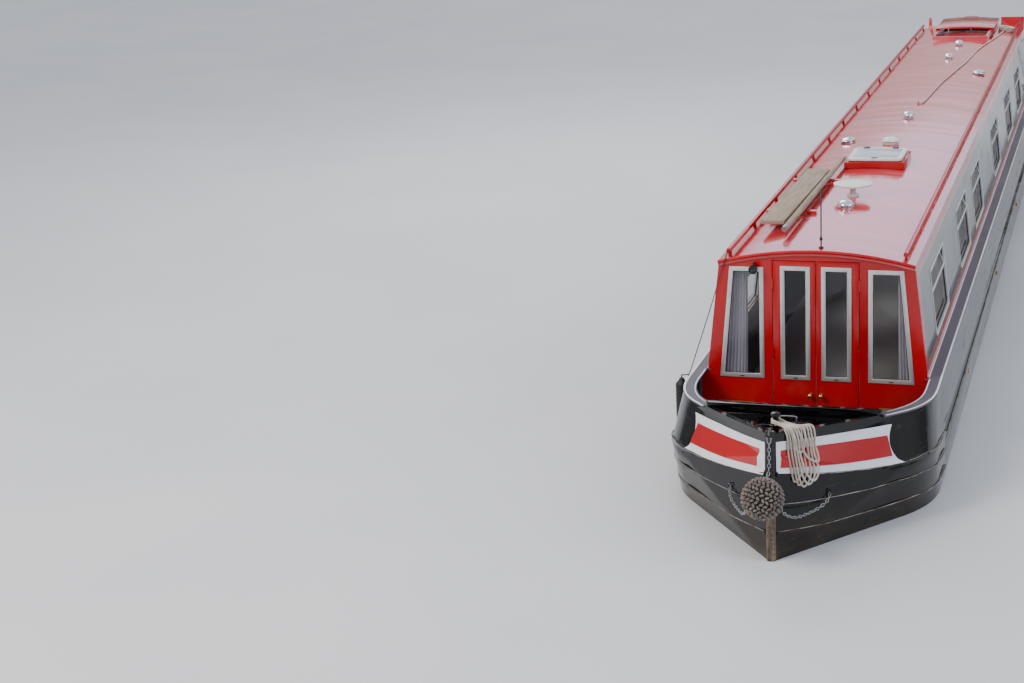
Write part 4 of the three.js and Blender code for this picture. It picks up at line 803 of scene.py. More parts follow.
def joined(node, finish=None, body="root", angle=30, edge=0.0, suffix="surface", cuts=()):
    """A CAD node's own surface, joined up, its sharp edges rounded if an edge is given, and cut
    along planes given as (place, across)."""
    bm = bmesh.new()
    bm.from_mesh(frame["nodes"][node].data)
    bmesh.ops.remove_doubles(bm, verts=bm.verts, dist=0.0001)
    bmesh.ops.dissolve_degenerate(bm, edges=bm.edges, dist=0.00005)
    bmesh.ops.dissolve_limit(bm, angle_limit=radians(0.02), verts=bm.verts, edges=bm.edges)
    if edge:
        sharp = [e for e in bm.edges if len(e.link_faces) == 2 and e.calc_face_angle(0) > radians(50)]
        bmesh.ops.bevel(bm, geom=sharp, offset=edge, offset_type="OFFSET", segments=2, profile=0.5,
                        affect="EDGES", clamp_overlap=True, material=-1)
    for place, across in cuts:
        bmesh.ops.bisect_plane(bm, geom=bm.verts[:] + bm.edges[:] + bm.faces[:], dist=0.0002,
                               plane_co=place, plane_no=across)
    bmesh.ops.triangulate(bm, faces=bm.faces)
    finish = finish or NODE_FINISH.get(node, FINISH_OF_SLOT.get(slots[node], slots[node]))
    made = piece(f"{node}_{suffix}", bm, finish, body, angle)
    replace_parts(made, node)
    return made


def shaded(thing, true_normal, tolerance):
    """Shades the faces within so many degrees of a smooth surface as that surface."""
    mesh = thing.data
    normals = [corner.vector.copy() for corner in mesh.corner_normals]
    limit = cos(radians(tolerance))
    known = {}
    for face in mesh.polygons:
        for loop in face.loop_indices:
            vertex = mesh.loops[loop].vertex_index
            if vertex not in known:
                known[vertex] = true_normal(mesh.vertices[vertex].co)
            if known[vertex] and known[vertex].dot(face.normal) > limit:
                normals[loop] = known[vertex]
    mesh.normals_split_custom_set(normals)


def roof_normal(p):
    """Of the camber, for a point on it."""
    if p.z > ROOF_EDGE - 0.02:
        return Vector((p.x, 0, sqrt(ROOF_RADIUS ** 2 - p.x ** 2))).normalized()
    return None


plate_inside = tree_of("bow_shell")
FEEL, FEEL_STEP, FEELS = 0.07, 0.015, 9  # length over which a slope is felt, from how many starts near it
FELT_FROM, NEAR_STEM = STEM + 0.12, STEM + 0.16  # ahead of these lies the stem post
FELT_TO, FELT_FOOT = CABIN_FRONT - 0.004, 0.03


def plate_normal(p):
    """Of the bow plates, from their inner faces, where the irons and eyes are only small steps."""
    side = 1 if p.x > 0 else -1
    y = min(max(p.y, NEAR_STEM), FELT_TO)
    top = rim_level(y) - 0.014
    z = min(max(p.z, FELT_FOOT), top)

    def inner(y, z):
        hit = plate_inside.ray_cast(Vector((0, y, z)), Vector((side, 0, 0)))[0]
        return abs(hit.x) if hit else None

    def slope(place, least, most, level):
        """The middle one of several slopes near the place, so that a step doesn't count."""
        found = []
        for step in range(FEELS):
            start = min(max(place - FEEL / 2 + FEEL_STEP * (step - FEELS // 2), least), most - FEEL)
            ends = level(start), level(start + FEEL)
            if None not in ends:
                found.append((ends[1] - ends[0]) / FEEL)
        return sorted(found)[len(found) // 2] if found else None

    along = slope(y, FELT_FROM, FELT_TO, lambda place: inner(place, z))
    up = slope(z, FELT_FOOT, top, lambda place: inner(y, place))
    return None if None in (along, up) else Vector((side, -along, -up)).normalized()


# A grid of short triangles, since long thin ones would shade in streaks
GRID = 0.08
BOW_CUTS = [((0, STEM + GRID * k, 0), (0, 1, 0)) for k in range(1, 26)]
BOW_CUTS += [((0, 0, GRID * k), (0, 0, 1)) for k in range(1, 20)]
shaded(joined("bow_shell", angle=22, cuts=BOW_CUTS), plate_normal, 16)
shaded(joined("roof", angle=22), roof_normal, 8)
for node in ("counter", "swim", "stem_post", "stern_rail", "handrail_port",
             "handrail_starboard", "hull_side_port", "hull_side_starboard", "aerial", "roof_rod",
             "gunwale_port", "gunwale_starboard", "skeg"):
    joined(node)
joined("propeller", body="propeller")
joined("tiller", body="rudder")
joined("tiller_bar", body="rudder")
joined("rudder", body="rudder")


# Painted bow: white panels with red middles, each a skin of paint on the plates

PAINT = 0.003  # thickness of a skin over the steel, with what the facets of the plates need
# Corners of a panel from the stem aft: top and foot, each as (behind the cabin front, above the gunwale)
WHITE = {
    "port": (((-1.984, 0.113), (-1.532, 0.034), (-1.046, -0.031)),
             ((-1.984, -0.123), (-1.547, -0.236), (-1.139, -0.290))),
    "starboard": (((-1.984, 0.107), (-1.490, 0.020), (-1.007, -0.034)),
                  ((-1.984, -0.140), (-1.499, -0.245), (-1.141, -0.284))),
}
RED = {
    "port": (((-1.947, 0.039), (-1.545, -0.030), (-1.128, -0.092)),
             ((-1.959, -0.089), (-1.560, -0.176), (-1.177, -0.233))),
    "starboard": (((-1.911, 0.031), (-1.520, -0.036), (-1.106, -0.086)),
                  ((-1.911, -0.103), (-1.520, -0.184), (-1.146, -0.234))),
}


def through(points, t):
    """A place on the smooth line through three points, from 0 to 1."""
    (y0, z0), (y1, z1), (y2, z2) = points
    middle = (y1 - y0) / (y2 - y0)
    a, b = (t - middle) * (t - 1) / middle, t * (t - 1) / (middle * (middle - 1))
    c = t * (t - middle) / (1 - middle)
    return a * y0 + b * y1 + c * y2, a * z0 + b * z1 + c * z2


def skin(bm, thickness):
    """A sheet given its thickness."""
    bm.normal_update()
    bmesh.ops.solidify(bm, geom=bm.faces[:], thickness=thickness)
    bmesh.ops.recalc_face_normals(bm, faces=bm.faces)
    return bm


def painted(name, side, rows, out, finish, hollow=0.0):
    """A skin of paint on the bow plates between a panel's top and foot, its aft end hollowed forward."""
    long, high = 64, 12
    bm = bmesh.new()
    bmesh.ops.create_grid(bm, x_segments=long, y_segments=high, size=0.5)
    for v in bm.verts:
        t, s = v.co.x + 0.5, v.co.y + 0.5
        (y0, z0), (y1, z1) = through(rows[1], t), through(rows[0], t)
        y = mix(y0, y1, s) - hollow * 4 * s * (1 - s) * max(0, t * 6 - 5)
        v.co = bow_side(CABIN_FRONT + y, GUNWALE + mix(z0, z1, s), out, SIDES[side])
    return piece(name, skin(bm, 0.0008), finish, angle=50)


for side in SIDES:
    painted(f"bow_panel_white_{side}", side, WHITE[side], PAINT, "panel_white", 0.055)
    painted(f"bow_panel_red_{side}", side, RED[side], PAINT + 0.0025, "panel_red")


# Guard irons: bright along their upper edges, partly worn where the boat rubs in locks and partly a painted
# highlight of the sky on their tops

IRON_STATIONS = (0.036, 0.2, 0.42, 0.64, 0.86, 1.1, 1.74, 2.018)  # behind the stem
IRON_LEVELS = ((1.216, 1.145, 1.095, 1.056, 1.038, 1.033, 0.952, 0.895),
               (0.967, 0.935, 0.912, 0.900, 0.897, 0.885, 0.800, 0.755),
               (0.757, 0.735, 0.715, 0.703, 0.700, 0.692, 0.640, 0.615))
IRON_EDGE = 0.0118  # of its outer face above its middle


def between(places, values, place):
    """The value at a place on a table."""
    i = next((k for k, at in enumerate(places) if at >= place and k), len(places) - 1)
    return mix(values[i - 1], values[i], (place - places[i - 1]) / (places[i] - places[i - 1]))


# These bright edges are partly steel worn bare and partly a painted highlight
for side, sign in SIDES.items():
    for number, levels in enumerate(IRON_LEVELS, 1):
        line = [bow_side(STEM + at / 100, between(IRON_STATIONS, levels, at / 100) + IRON_EDGE, 0.0, sign)
                for at in range(4, 202, 4)]
        piece(f"guard_iron_{number}_worn_edge_{side}",
              tube_mesh("worn_and_highlit_edge", smooth_line(line, 0.05), 0.0026), "worn_and_highlit_iron")
    strake = [bow_side(y / 10, 0.88 + IRON_EDGE, 0.0, sign) for y in range(-71, 75, 6)]
    piece(f"strake_worn_edge_{side}", tube_mesh("worn_and_highlit_edge", smooth_line(strake, 0.2), 0.0026), "worn_and_highlit_iron")


# Windows

UP = Vector((0, 0, 1))
ALONG = Vector((0, 1, 0))
LEAN = Vector((-(CABIN_BASE - CABIN_TOP), 0, ROOF_EDGE - GUNWALE)).normalized()  # up the port side
MIRROR = Matrix.Scale(-1, 4, (1, 0, 0))  # port to starboard
FLANGE, REVEAL, GLASS = 0.014, 0.040, 0.005  # of a side window's frame, and its pane's thickness
TRANSOM = 0.075  # of the bar under the top panes, above the middle


def on_side(sign, place=Matrix.Identity(4)):
    """A place on the port side, or its mirror image to starboard."""
    return place if sign > 0 else MIRROR @ place


def side_x(z):
    """Outer face of the port cabin side."""
    return CABIN_BASE - (CABIN_BASE - CABIN_TOP) * (z - GUNWALE) / (ROOF_EDGE - GUNWALE)


middle = (WINDOW_SILL + WINDOW_HEAD) / 2
window_high = (WINDOW_HEAD - WINDOW_SILL) / LEAN.z
window_places = [stand((side_x(middle), CABIN_FRONT + end - WINDOW_LONG / 2, middle), ALONG, LEAN)
                 for end in WINDOW_ENDS]


def shift(x=0.0, y=0.0, z=0.0):
    """The matrix of a plain move."""
    return Matrix.Translation((x, y, z))


HOPPER_HIGH = window_high / 2 - TRANSOM - 0.03
HOPPER_TILT = shift(0, TRANSOM + 0.012, -0.014) @ Matrix.Rotation(radians(-14), 4, "X") @ shift(
    0, HOPPER_HIGH / 2, 0)
for side, sign in SIDES.items():
    frames, panes, gaskets = [], [], []
    for place in window_places:
        place = on_side(sign, place)
        long, high = WINDOW_LONG, window_high
        # Flange outside, sleeve through the side, bar under the top pane, and that pane's tilted frame
        frames += [
            (border(oblong(long + 2 * FLANGE, high + 2 * FLANGE, 0.045), 0.026, 0.004, 0.001), place),
            (border(oblong(long - 0.004, high - 0.004, 0.034), 0.012, REVEAL, 0.0), place @ shift(z=-REVEAL)),
            (thick(oblong(long - 0.026, 0.022, 0.003), 0.026, 0.001), place @ shift(y=TRANSOM, z=-0.034)),
            (border(oblong(long - 0.036, HOPPER_HIGH, 0.022), 0.014, 0.014, 0.001), place @ HOPPER_TILT)]
        gaskets += [
            (border(oblong(long - 0.027, high - 0.027, 0.026), 0.007, 0.012), place @ shift(z=-0.024))]
        low = TRANSOM + high / 2 - 0.014
        panes += [
            (thick(oblong(long - 0.038, low - 0.012, 0.01), GLASS),
             place @ shift(y=TRANSOM / 2 - high / 4, z=-0.020)),
            (thick(oblong(long - 0.060, HOPPER_HIGH - 0.024, 0.01), GLASS),
             place @ HOPPER_TILT @ shift(z=0.004))]
    piece(f"side_window_frames_{side}", gather(frames), "aluminium")
    piece(f"side_window_gaskets_{side}", gather(gaskets), "black_rubber")
    piece(f"side_window_glass_{side}", gather(panes), "glass")

# Windows in the front bulkhead and its doors: a broad satin frame, the pane, its seal and a drain slot
FRONT = {"sill": 1.282, "head": 2.215, "inner": 0.418, "foot": 0.785, "top": 0.695}
DOOR_LIGHT = {"sill": 1.279, "head": 2.227, "inner": 0.044, "outer": 0.285}
FRAME, UNIT_DEEP = 0.036, 0.0232
FACE = CABIN_FRONT - 0.0072  # front of the bulkhead windows; those in the doors are 4 mm further aft
bulkhead_outline = [(FRONT["inner"], FRONT["sill"]), (FRONT["foot"], FRONT["sill"]),
                    (FRONT["top"], FRONT["head"]), (FRONT["inner"], FRONT["head"])]
door_outline = [(DOOR_LIGHT["inner"], DOOR_LIGHT["sill"]), (DOOR_LIGHT["outer"], DOOR_LIGHT["sill"]),
                (DOOR_LIGHT["outer"], DOOR_LIGHT["head"]), (DOOR_LIGHT["inner"], DOOR_LIGHT["head"])]


def pulled_in(points, by):
    """The outline's corners moved in by a distance from each side."""
    inner, sill = points[0][0] + by, points[0][1] + by
    head = points[2][1] - by
    lean = (points[2][0] - points[1][0]) / (points[2][1] - points[1][1])
    return [(inner, sill), (points[1][0] - by * (1 - lean), sill),
            (points[2][0] - by * (1 + lean), head), (inner, head)]


def front_window(name, outline, face, side, body, node):
    """A framed pane whose outer face is at face, on its CAD node's place."""
    place = on_side(SIDES[side], stand((0, face + UNIT_DEEP, 0), (1, 0, 0), UP))
    bars = border(shape(pulled_in(outline, 0.0003)), FRAME, UNIT_DEEP, 0.003)
    made = piece(name + "_frame", gather([(bars, place)]), "aluminium", body)
    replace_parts(made, node)
    pane = thick(shape(pulled_in(outline, FRAME - 0.004)), 0.006)
    piece(name + "_glass", gather([(pane, place @ shift(z=0.009))]), "glass", body)
    seal = border(shape(pulled_in(outline, FRAME - 0.001)), 0.006, 0.004, 0.001)
    piece(name + "_seal", gather([(seal, place @ shift(z=0.0155))]), "black_rubber", body)
    low, high = outline[0][1], outline[2][1]
    middle = (outline[0][0] + outline[1][0]) / 2
    drain = bmesh.new()
    block(drain, (middle - 0.018, face - 0.0006, low + 0.008),
          (middle + 0.018, face + 0.001, low + 0.017), 0.0008)
    piece(name + "_drain", gather([(drain, on_side(SIDES[side]))]), "black_plastic", body)


for side in SIDES:
    front_window(f"bulkhead_window_{side}", bulkhead_outline, FACE, side, "root", f"bulkhead_window_{side}")
    front_window(f"door_window_{side}", door_outline, FACE + 0.004, side, f"front_door_{side}",
                 f"front_door_window_{side}")

# Doors: rounded leaves with knobs and hinges in front, and with beading, handles and straps at the rear
REAR_FACE = CABIN_REAR + 0.0035  # outside of the rear doors
DOOR_PIN = (0.348, CABIN_FRONT + 0.001)  # a front door's hinges: how far out, and where along the boat
for side, sign in SIDES.items():
    body = f"front_door_{side}"
    joined(body, body=body, edge=0.002, suffix="leaf")
    knob = lathe([(0, -0.002), (0.019, -0.002), (0.019, 0.003), (0.009, 0.006), (0.0075, 0.018),
                  (0.014, 0.024), (0.0205, 0.034), (0.019, 0.044), (0.010, 0.050), (0, 0.0512)])
    at = stand((sign * 0.044, CABIN_FRONT + 0.004, GUNWALE - 0.19), (1, 0, 0), UP)
    piece(f"front_door_knob_{side}", gather([(knob, at)]), "brass", body)
    hinges = []
    for level in (0.95, 1.5, 2.08):
        hinges.append((lathe([(0, -0.045), (0.006, -0.045), (0.0075, -0.043), (0.0075, 0.043), (0.006, 0.045),
                              (0, 0.045)], 12), shift(sign * DOOR_PIN[0], DOOR_PIN[1], level)))
    piece(f"front_door_hinges_{side}", gather(hinges), "red_enamel", body)
    rear = f"rear_door_{side}"
    joined(rear, body=rear, edge=0.002, suffix="leaf")
    at = on_side(sign, stand((0, REAR_FACE, 0), (-1, 0, 0), UP) @ MIRROR)
    beads = []
    for low, high in ((1.06, 1.66), (1.72, 2.32)):
        panel = rounded(shape([(0.035, low), (0.298, low), (0.298, high), (0.035, high)]), 0.02)
        beads.append((border(panel, 0.014, 0.008, 0.003), at))
    piece(f"rear_door_beading_{side}", gather(beads), "red_enamel", rear)
    pull = smooth_line([(sign * 0.022, CABIN_REAR + 0.004, 1.62), (sign * 0.022, CABIN_REAR + 0.034, 1.625),
                        (sign * 0.022, CABIN_REAR + 0.038, 1.68), (sign * 0.022, CABIN_REAR + 0.034, 1.735),
                        (sign * 0.022, CABIN_REAR + 0.004, 1.74)], 0.008)
    name = f"rear_door_handle_{side}"
    piece(name, tube_mesh(name, pull, 0.006), "brass", rear)
    straps = []
    for level in (1.25, 1.68, 2.12):
        strap = bmesh.new()
        block(strap, (0.235, REAR_FACE, level - 0.014), (0.327, REAR_FACE + 0.005, level + 0.014), 0.0015)
        straps.append((strap, on_side(sign)))
    piece(f"rear_door_straps_{side}", gather(straps), "black_enamel", rear)

# Curtains drawn to the outer sides of the bulkhead windows, on a rail behind each head
CURTAIN = {"head": 2.196, "foot": 1.262, "back": CABIN_FRONT + 0.074}
OUTER_FOOT, OUTER_HEAD = 0.790, 0.718  # how far out the bulkhead windows reach
for side, (inner, folds) in {"port": (0.640, 5), "starboard": (0.560, 7)}.items():
    sign = SIDES[side]
    cloth = bmesh.new()
    bmesh.ops.create_grid(cloth, x_segments=folds * 16, y_segments=24, size=0.5)
    for v in cloth.verts:
        t, s = v.co.x + 0.5, v.co.y + 0.5
        outer = mix(OUTER_FOOT, OUTER_HEAD, s) - 0.012
        gathered = mix(inner + 0.010, inner, s)
        wave = sin(tau * folds * t + 0.5 * sin(3 * s)) * mix(0.019, 0.013, s)
        v.co = (sign * mix(gathered, outer, t), CURTAIN["back"] + wave,
                mix(CURTAIN["foot"], CURTAIN["head"], s))
    bmesh.ops.recalc_face_normals(cloth, faces=cloth.faces)
    hung = piece(f"curtain_{side}", cloth, "curtain", angle=180)
    rail = smooth_line([(sign * 0.40, CURTAIN["back"], CURTAIN["head"] + 0.006),
                        (sign * 0.715, CURTAIN["back"], CURTAIN["head"] + 0.006)], 0.05)
    piece(f"curtain_rail_{side}", tube_mesh(f"curtain_rail_{side}", rail, 0.005), "brass")

# Tunnel lamp on its bracket beside the doors
LAMP = Vector((-0.487, CABIN_FRONT - 0.024, GUNWALE + 0.87))
lamp_place = stand(LAMP, (1, 0, 0), UP)
shell = lathe([(0, 0), (0.010, 0.0), (0.024, 0.008), (0.033, 0.028), (0.0355, 0.050), (0.036, 0.060),
               (0.034, 0.062), (0.0315, 0.058), (0.029, 0.040), (0, 0.036)])
bracket = bmesh.new()
block(bracket, (-0.009, 0.014, -0.0235), (0.009, 0.042, 0.030), 0.002)
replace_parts(piece("tunnel_lamp_shell", gather([(shell, lamp_place), (bracket, lamp_place)]), "black_plastic"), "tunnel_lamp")
lens = lathe([(0, 0.050), (0.031, 0.050), (0.031, 0.056), (0.018, 0.0605), (0, 0.062)])
piece("tunnel_lamp_lens", gather([(lens, lamp_place)]), "glass")


# Roof fittings

VENTS = (  # across, behind the cabin front, radius, height, finish
    (0.011, 1.584, 0.071, 0.060, "chrome"), (0.020, 4.640, 0.086, 0.060, "white_plastic"),
    (-0.444, 4.850, 0.080, 0.048, "chrome"), (0.021, 6.200, 0.064, 0.062, "chrome"),
    (0.504, 9.650, 0.080, 0.048, "chrome"), (0.024, 10.840, 0.064, 0.062, "chrome"),
    (0.038, 12.140, 0.060, 0.062, "chrome"))
SHEET = 0.003  # how far a spun cover stands off the stub under it
for number, (x, y, r, h, finish) in enumerate(VENTS, 1):
    base = roof_top(x) - 0.012
    cover = lathe([
        (0, 0.012), (r * 0.95, 0.012), (r * 0.95, 0.017), (r * 0.66 + SHEET, 0.021),
        (r * 0.62 + SHEET, h * 0.42), (r * 0.80, h * 0.48), (r + SHEET, h * 0.60), (r + SHEET, h * 0.66),
        (r * 0.97, h * 0.80), (r * 0.86, h * 0.94), (r * 0.66, h + 0.009), (r * 0.36, h + 0.0155),
        (0, h + 0.0172)], 36)
    tilt = Matrix.Rotation(asin(x / ROOF_RADIUS), 4, "Y")
    slot = "white_plastic" if finish == "white_plastic" else "galvanised_steel"
    piece(f"roof_vent_{number}", gather([(cover, shift(x, CABIN_FRONT + y, base) @ tilt)]), finish,
          angle=40)

# Front edge of the roof: a half round bead of bright red along the camber
bead = smooth_line([(x / 10 * 0.785, CABIN_FRONT - 0.016, roof_top(x / 10 * 0.778) - 0.016)
                    for x in range(-10, 11)], 0.05)
piece("roof_front_bead", tube_mesh("roof_front_bead", bead, 0.013), "red_enamel")

# Skylight lid: white moulded frame with rounded corners, opal glazing, black hinges aft and a latch
HATCH = Vector((0.025, CABIN_FRONT + 3.6, CROWN + 0.066))
lid = border(oblong(0.516, 0.560, 0.055), 0.048, 0.028, 0.005)
made = piece("skylight_frame", gather([(lid, shift(*HATCH))]), "white_plastic",
             "roof_hatch_lid", 50)
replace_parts(made, "roof_hatch_lid")
dome = thick(oblong(0.432, 0.476, 0.03), 0.014, 0.006)
piece("skylight_glazing", gather([(dome, shift(HATCH.x, HATCH.y, HATCH.z + 0.0135))]), "acrylic",
      "roof_hatch_lid")
hinges = bmesh.new()
for x in (-0.14, 0.14):
    block(hinges, (HATCH.x + x - 0.030, HATCH.y + 0.236, HATCH.z + 0.026),
          (HATCH.x + x + 0.030, HATCH.y + 0.288, HATCH.z + 0.036), 0.004)
block(hinges, (HATCH.x - 0.030, HATCH.y - 0.272, HATCH.z + 0.026),
      (HATCH.x + 0.030, HATCH.y - 0.246, HATCH.z + 0.034), 0.003)
piece("skylight_hinges", hinges, "black_plastic", "roof_hatch_lid")
joined("roof_hatch_base", edge=0.004)

# Sliding hatch: rounded, with a grab rail on its aft end
joined("slide_hatch", body="slide_hatch", edge=0.003)
grab = smooth_line([(-0.09, CABIN_REAR - 0.02, 2.449), (-0.085, CABIN_REAR - 0.02, 2.466),
                    (0.085, CABIN_REAR - 0.02, 2.466), (0.09, CABIN_REAR - 0.02, 2.449)], 0.01)
piece("slide_hatch_grab", tube_mesh("slide_hatch_grab", grab, 0.006), "brass", "slide_hatch")

# Boat pole: a round wooden pole, tapered, with a galvanised shoe
POLE = (Vector((-0.332, CABIN_FRONT + 0.49, 0)), Vector((-0.300, CABIN_FRONT + 3.57, 0)))
RACK_TOP, POLE_AXIS, BOARD_TOP = 2.3847, 2.413, 2.421  # levels
pole_place = stand((*POLE[0].xy, POLE_AXIS), UP, (POLE[1] - POLE[0]).cross(UP))
run = (POLE[1] - POLE[0]).length
pole = lathe([(0, 0), (0.020, 0), (0.0265, 0.006), (0.0278, run * 0.45), (0.022, run - 0.006), (0.016, run),
              (0, run)], 20)
made = piece("boat_pole_shaft", gather([(pole, pole_place)]), "weathered_wood")
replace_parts(made, "boat_pole")
shoe = lathe([(0, -0.002), (0.024, -0.002), (0.0280, 0.004), (0.0280, 0.075), (0.0270, 0.078),
              (0, 0.078)], 20)
piece("boat_pole_shoe", gather([(shoe, pole_place)]), "galvanised_steel")

# Gangplank: a bare weathered board, its edges worn round, with a bolt near each corner
joined("gangplank", edge=0.004)
PLANK = (Vector((-0.490, CABIN_FRONT + 0.78, 0)), Vector((-0.447, CABIN_FRONT + 2.99, 0)))
plank_run = (PLANK[1] - PLANK[0]).normalized()
plank_side = Vector((plank_run.y, -plank_run.x, 0))
bolts = []
for share, out in ((0.03, -0.07), (0.03, 0.07), (0.97, -0.07), (0.97, 0.07)):
    spot = PLANK[0].lerp(PLANK[1], share) + out * plank_side
    bolts.append((lathe([(0, -0.001), (0.009, -0.001), (0.0088, 0.0012), (0.006, 0.0028), (0, 0.0036)], 12),
                  shift(*spot.xy, BOARD_TOP)))
piece("gangplank_bolts", gather(bolts), "galvanised_steel")


# Bow fender: a ball of hitched tarred rope on galvanised chains

def hitched(radii, centre, axis_matrix, pitch, size):
    """The rope cover of a fender: rows of hitches on a turned shape given as (radius, height, slope)."""
    parts = []
    for row, (radius, height, slope) in enumerate(radii):
        count = max(5, round(tau * radius / pitch))
        for k in range(count):
            turn = tau * (k + (row % 2) * 0.5 + random.uniform(-0.12, 0.12)) / count
            knot = bmesh.new()
            bmesh.ops.create_uvsphere(knot, u_segments=8, v_segments=6, radius=1)
            bmesh.ops.scale(knot, vec=size, verts=knot.verts)
            bmesh.ops.bisect_plane(knot, geom=knot.verts[:] + knot.edges[:] + knot.faces[:],
                                   plane_co=(0, 0, -size[2] * 0.3), plane_no=(0, 0, -1), clear_outer=True)
            bmesh.ops.holes_fill(knot, edges=knot.edges, sides=0)
            local = (Matrix.Rotation(turn, 4, "Z") @ shift(radius, 0, height)
                     @ Matrix.Rotation(slope, 4, "Y")
                     @ Matrix.Rotation(radians((40 if row % 2 else -40) + random.uniform(-14, 14)), 4, "Z"))
            parts.append((knot, shift(*centre) @ axis_matrix @ local @ Matrix.Rotation(radians(90), 4, "Z")))
    return gather(parts)


BALL, BALL_R = Vector((-0.025, STEM - 0.153, GUNWALE - 0.248)), 0.150
KNOT = (0.0185, 0.0095, 0.0125)  # half sizes of one hitch along, across and out
rows = []
for row in range(15):
    angle = radians(-84 + 12 * row)
    rows.append(((BALL_R - 0.006) * cos(angle), (BALL_R - 0.006) * sin(angle), pi / 2 - angle))
tilted = Matrix.Rotation(radians(24), 4, "Y") @ Matrix.Rotation(radians(-30), 4, "X")
cover = hitched(rows, BALL, tilted, 0.036, KNOT)
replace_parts(piece("bow_fender_ball", cover, "tarred_rope", angle=80), "bow_fender")
core = bmesh.new()
bmesh.ops.create_icosphere(core, subdivisions=4, radius=BALL_R - 0.008)
bmesh.ops.translate(core, vec=BALL, verts=core.verts)
piece("bow_fender_core", core, "fender_heart")

LINK_LONG, LINK_R, LINK_WIRE, LINK_PITCH = 0.036, 0.0095, 0.0030, 0.0285


def link():
    """One oval link, its length along X."""
    bm = bmesh.new()
    made = bmesh.ops.create_circle(bm, segments=7, radius=LINK_WIRE)["verts"]
    bmesh.ops.rotate(bm, verts=made, cent=(0, 0, 0), matrix=Matrix.Rotation(pi / 2, 3, "X"))
    bmesh.ops.translate(bm, verts=made, vec=(LINK_R, 0, 0))
    bmesh.ops.spin(bm, geom=bm.verts[:] + bm.edges[:], cent=(0, 0, 0), axis=(0, 0, 1), angle=tau, steps=14,
                   use_merge=True)
    bmesh.ops.remove_doubles(bm, verts=bm.verts, dist=WELD)
    for v in bm.verts:
        v.co.x += (LINK_LONG / 2 - LINK_R - LINK_WIRE) * (1 if v.co.x > 0 else -1)
    bmesh.ops.recalc_face_normals(bm, faces=bm.faces)
    return bm


def chain(points, wide):
    """Links along a line, each turned a quarter from the last; the first lies flat to wide."""
    line = smooth_line(points, 0.004)
    count = round(length_of(line) / LINK_PITCH)
    places = even(line, length_of(line) / (2 * count))
    parts = []
    for i in range(count):
        before, here, after = places[2 * i:2 * i + 3]
        along = (after - before).normalized()
        side = (Vector(wide) - along * along.dot(Vector(wide))).normalized()
        if i % 2:
            side = side.cross(along)
        parts.append((link(), stand(here, along, side)))
    return parts


def metres(points):
    """Points given in millimetres."""
    return [Vector(p) / 1000 for p in points]


EYE_ENTRY = 0.77036  # angle of the bow plates at the chain eyes
along_eye = Vector((sin(EYE_ENTRY), cos(EYE_ENTRY), 0))
# Middle lines of its chains in millimetres: port, starboard and from the stem's eye
SIDE_CHAIN = [(363.7, -8788.4, 972), (366, -8794, 945), (345, -8845, 914), (302, -8913, 893),
              (238, -9025, 888), (178, -9135, 902), (132, -9221, 948), (97, -9288, 1016)]
OTHER_CHAIN = [(-363.7, -8788.4, 972), (-366, -8794, 945), (-352, -8845, 914), (-316, -8913, 893),
               (-259, -9025, 888), (-206, -9135, 902), (-167, -9221, 948), (-147, -9288, 1016)]
UPPER_CHAIN = [(0, -9161, 1484), (0, -9163, 1340), (-2, -9166, 1280), (-5, -9178, 1235), (-11, -9216, 1212)]
chains = (chain(metres(UPPER_CHAIN), (1, 0, 0)) + chain(metres(SIDE_CHAIN), along_eye)
          + chain(metres(OTHER_CHAIN), (-along_eye.x, along_eye.y, 0)))
piece("bow_fender_chains", gather(chains), "galvanised_steel", angle=60)

# Shackle that hangs the upper chain from the eye on the stem
STEM_EYE = STEM - 0.018
bow_of = [(x, STEM_EYE, z) for x, z in ((0.013, 1.497), (0.013, 1.476), (0.009, 1.463), (0, 1.458),
                                        (-0.009, 1.463), (-0.013, 1.476), (-0.013, 1.497))]
shackle = bmesh.new()
loop_mesh = tube_mesh("shackle", smooth_line(bow_of, 0.004), 0.0038)
shackle.from_mesh(loop_mesh)
bpy.data.meshes.remove(loop_mesh)
pin = lathe([(0, -0.022), (0.0062, -0.022), (0.0062, -0.016), (0.0034, -0.016), (0.0034, 0.016),
             (0.0062, 0.016), (0.0062, 0.020), (0, 0.020)], 12)
gather([(pin, shift(0, STEM_EYE, 1.4955) @ Matrix.Rotation(pi / 2, 4, "Y"))], shackle)
piece("stem_shackle", shackle, "galvanised_steel")

# Stern fender: the same hitched cover on a long button
BUTTON = Vector((0, STERN + 0.14, 0.9))  # its middle
button = []
for row in range(19):
    height = mix(-0.252, 0.252, row / 18)
    radius = 0.118 * (1 - abs(height / 0.268) ** 3.2) ** 0.5 + 0.006
    slope = pi / 2 - atan2(height, 0.35) * 1.6
    button.append((radius, height, slope))
lying = Matrix.Rotation(pi / 2, 4, "Y")
cover = hitched(button, BUTTON, lying, 0.038, (0.0205, 0.0115, 0.0120))
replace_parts(piece("stern_fender_cover", cover, "tarred_rope", angle=80), "stern_fender")
core = lathe([(0, -0.250), (0.058, -0.248), (0.104, -0.190), (0.117, -0.080), (0.117, 0.080), (0.104, 0.190),
              (0.058, 0.248), (0, 0.250)], 24)
piece("stern_fender_core", gather([(core, shift(*BUTTON) @ lying)]), "fender_heart")

# Side fender: a ribbed rubber cylinder
ribs = [(0, -0.480), (0.030, -0.479), (0.048, -0.450), (0.052, -0.436)]
for k in range(12):
    z = -0.428 + k * 0.031
    ribs += [(0.0515, z), (0.0515, z + 0.018), (0.047, z + 0.022), (0.047, z + 0.027)]
ribs += [(0.0515, -0.056), (0.050, -0.050), (0.024, -0.020), (0.018, -0.003), (0.012, 0), (0, 0)]
made = piece("side_fender_body", gather([(lathe(ribs, 28), shift(*FENDER))]), "black_rubber",
             angle=25)
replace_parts(made, "side_fender")

# White lines along the capping: a broad painted highlight on its outer edge, where the rounded edge would
# catch the sky, and a thin painted line inside
capping_tree = {side: tree_of(f"gunwale_{side}") for side in SIDES}


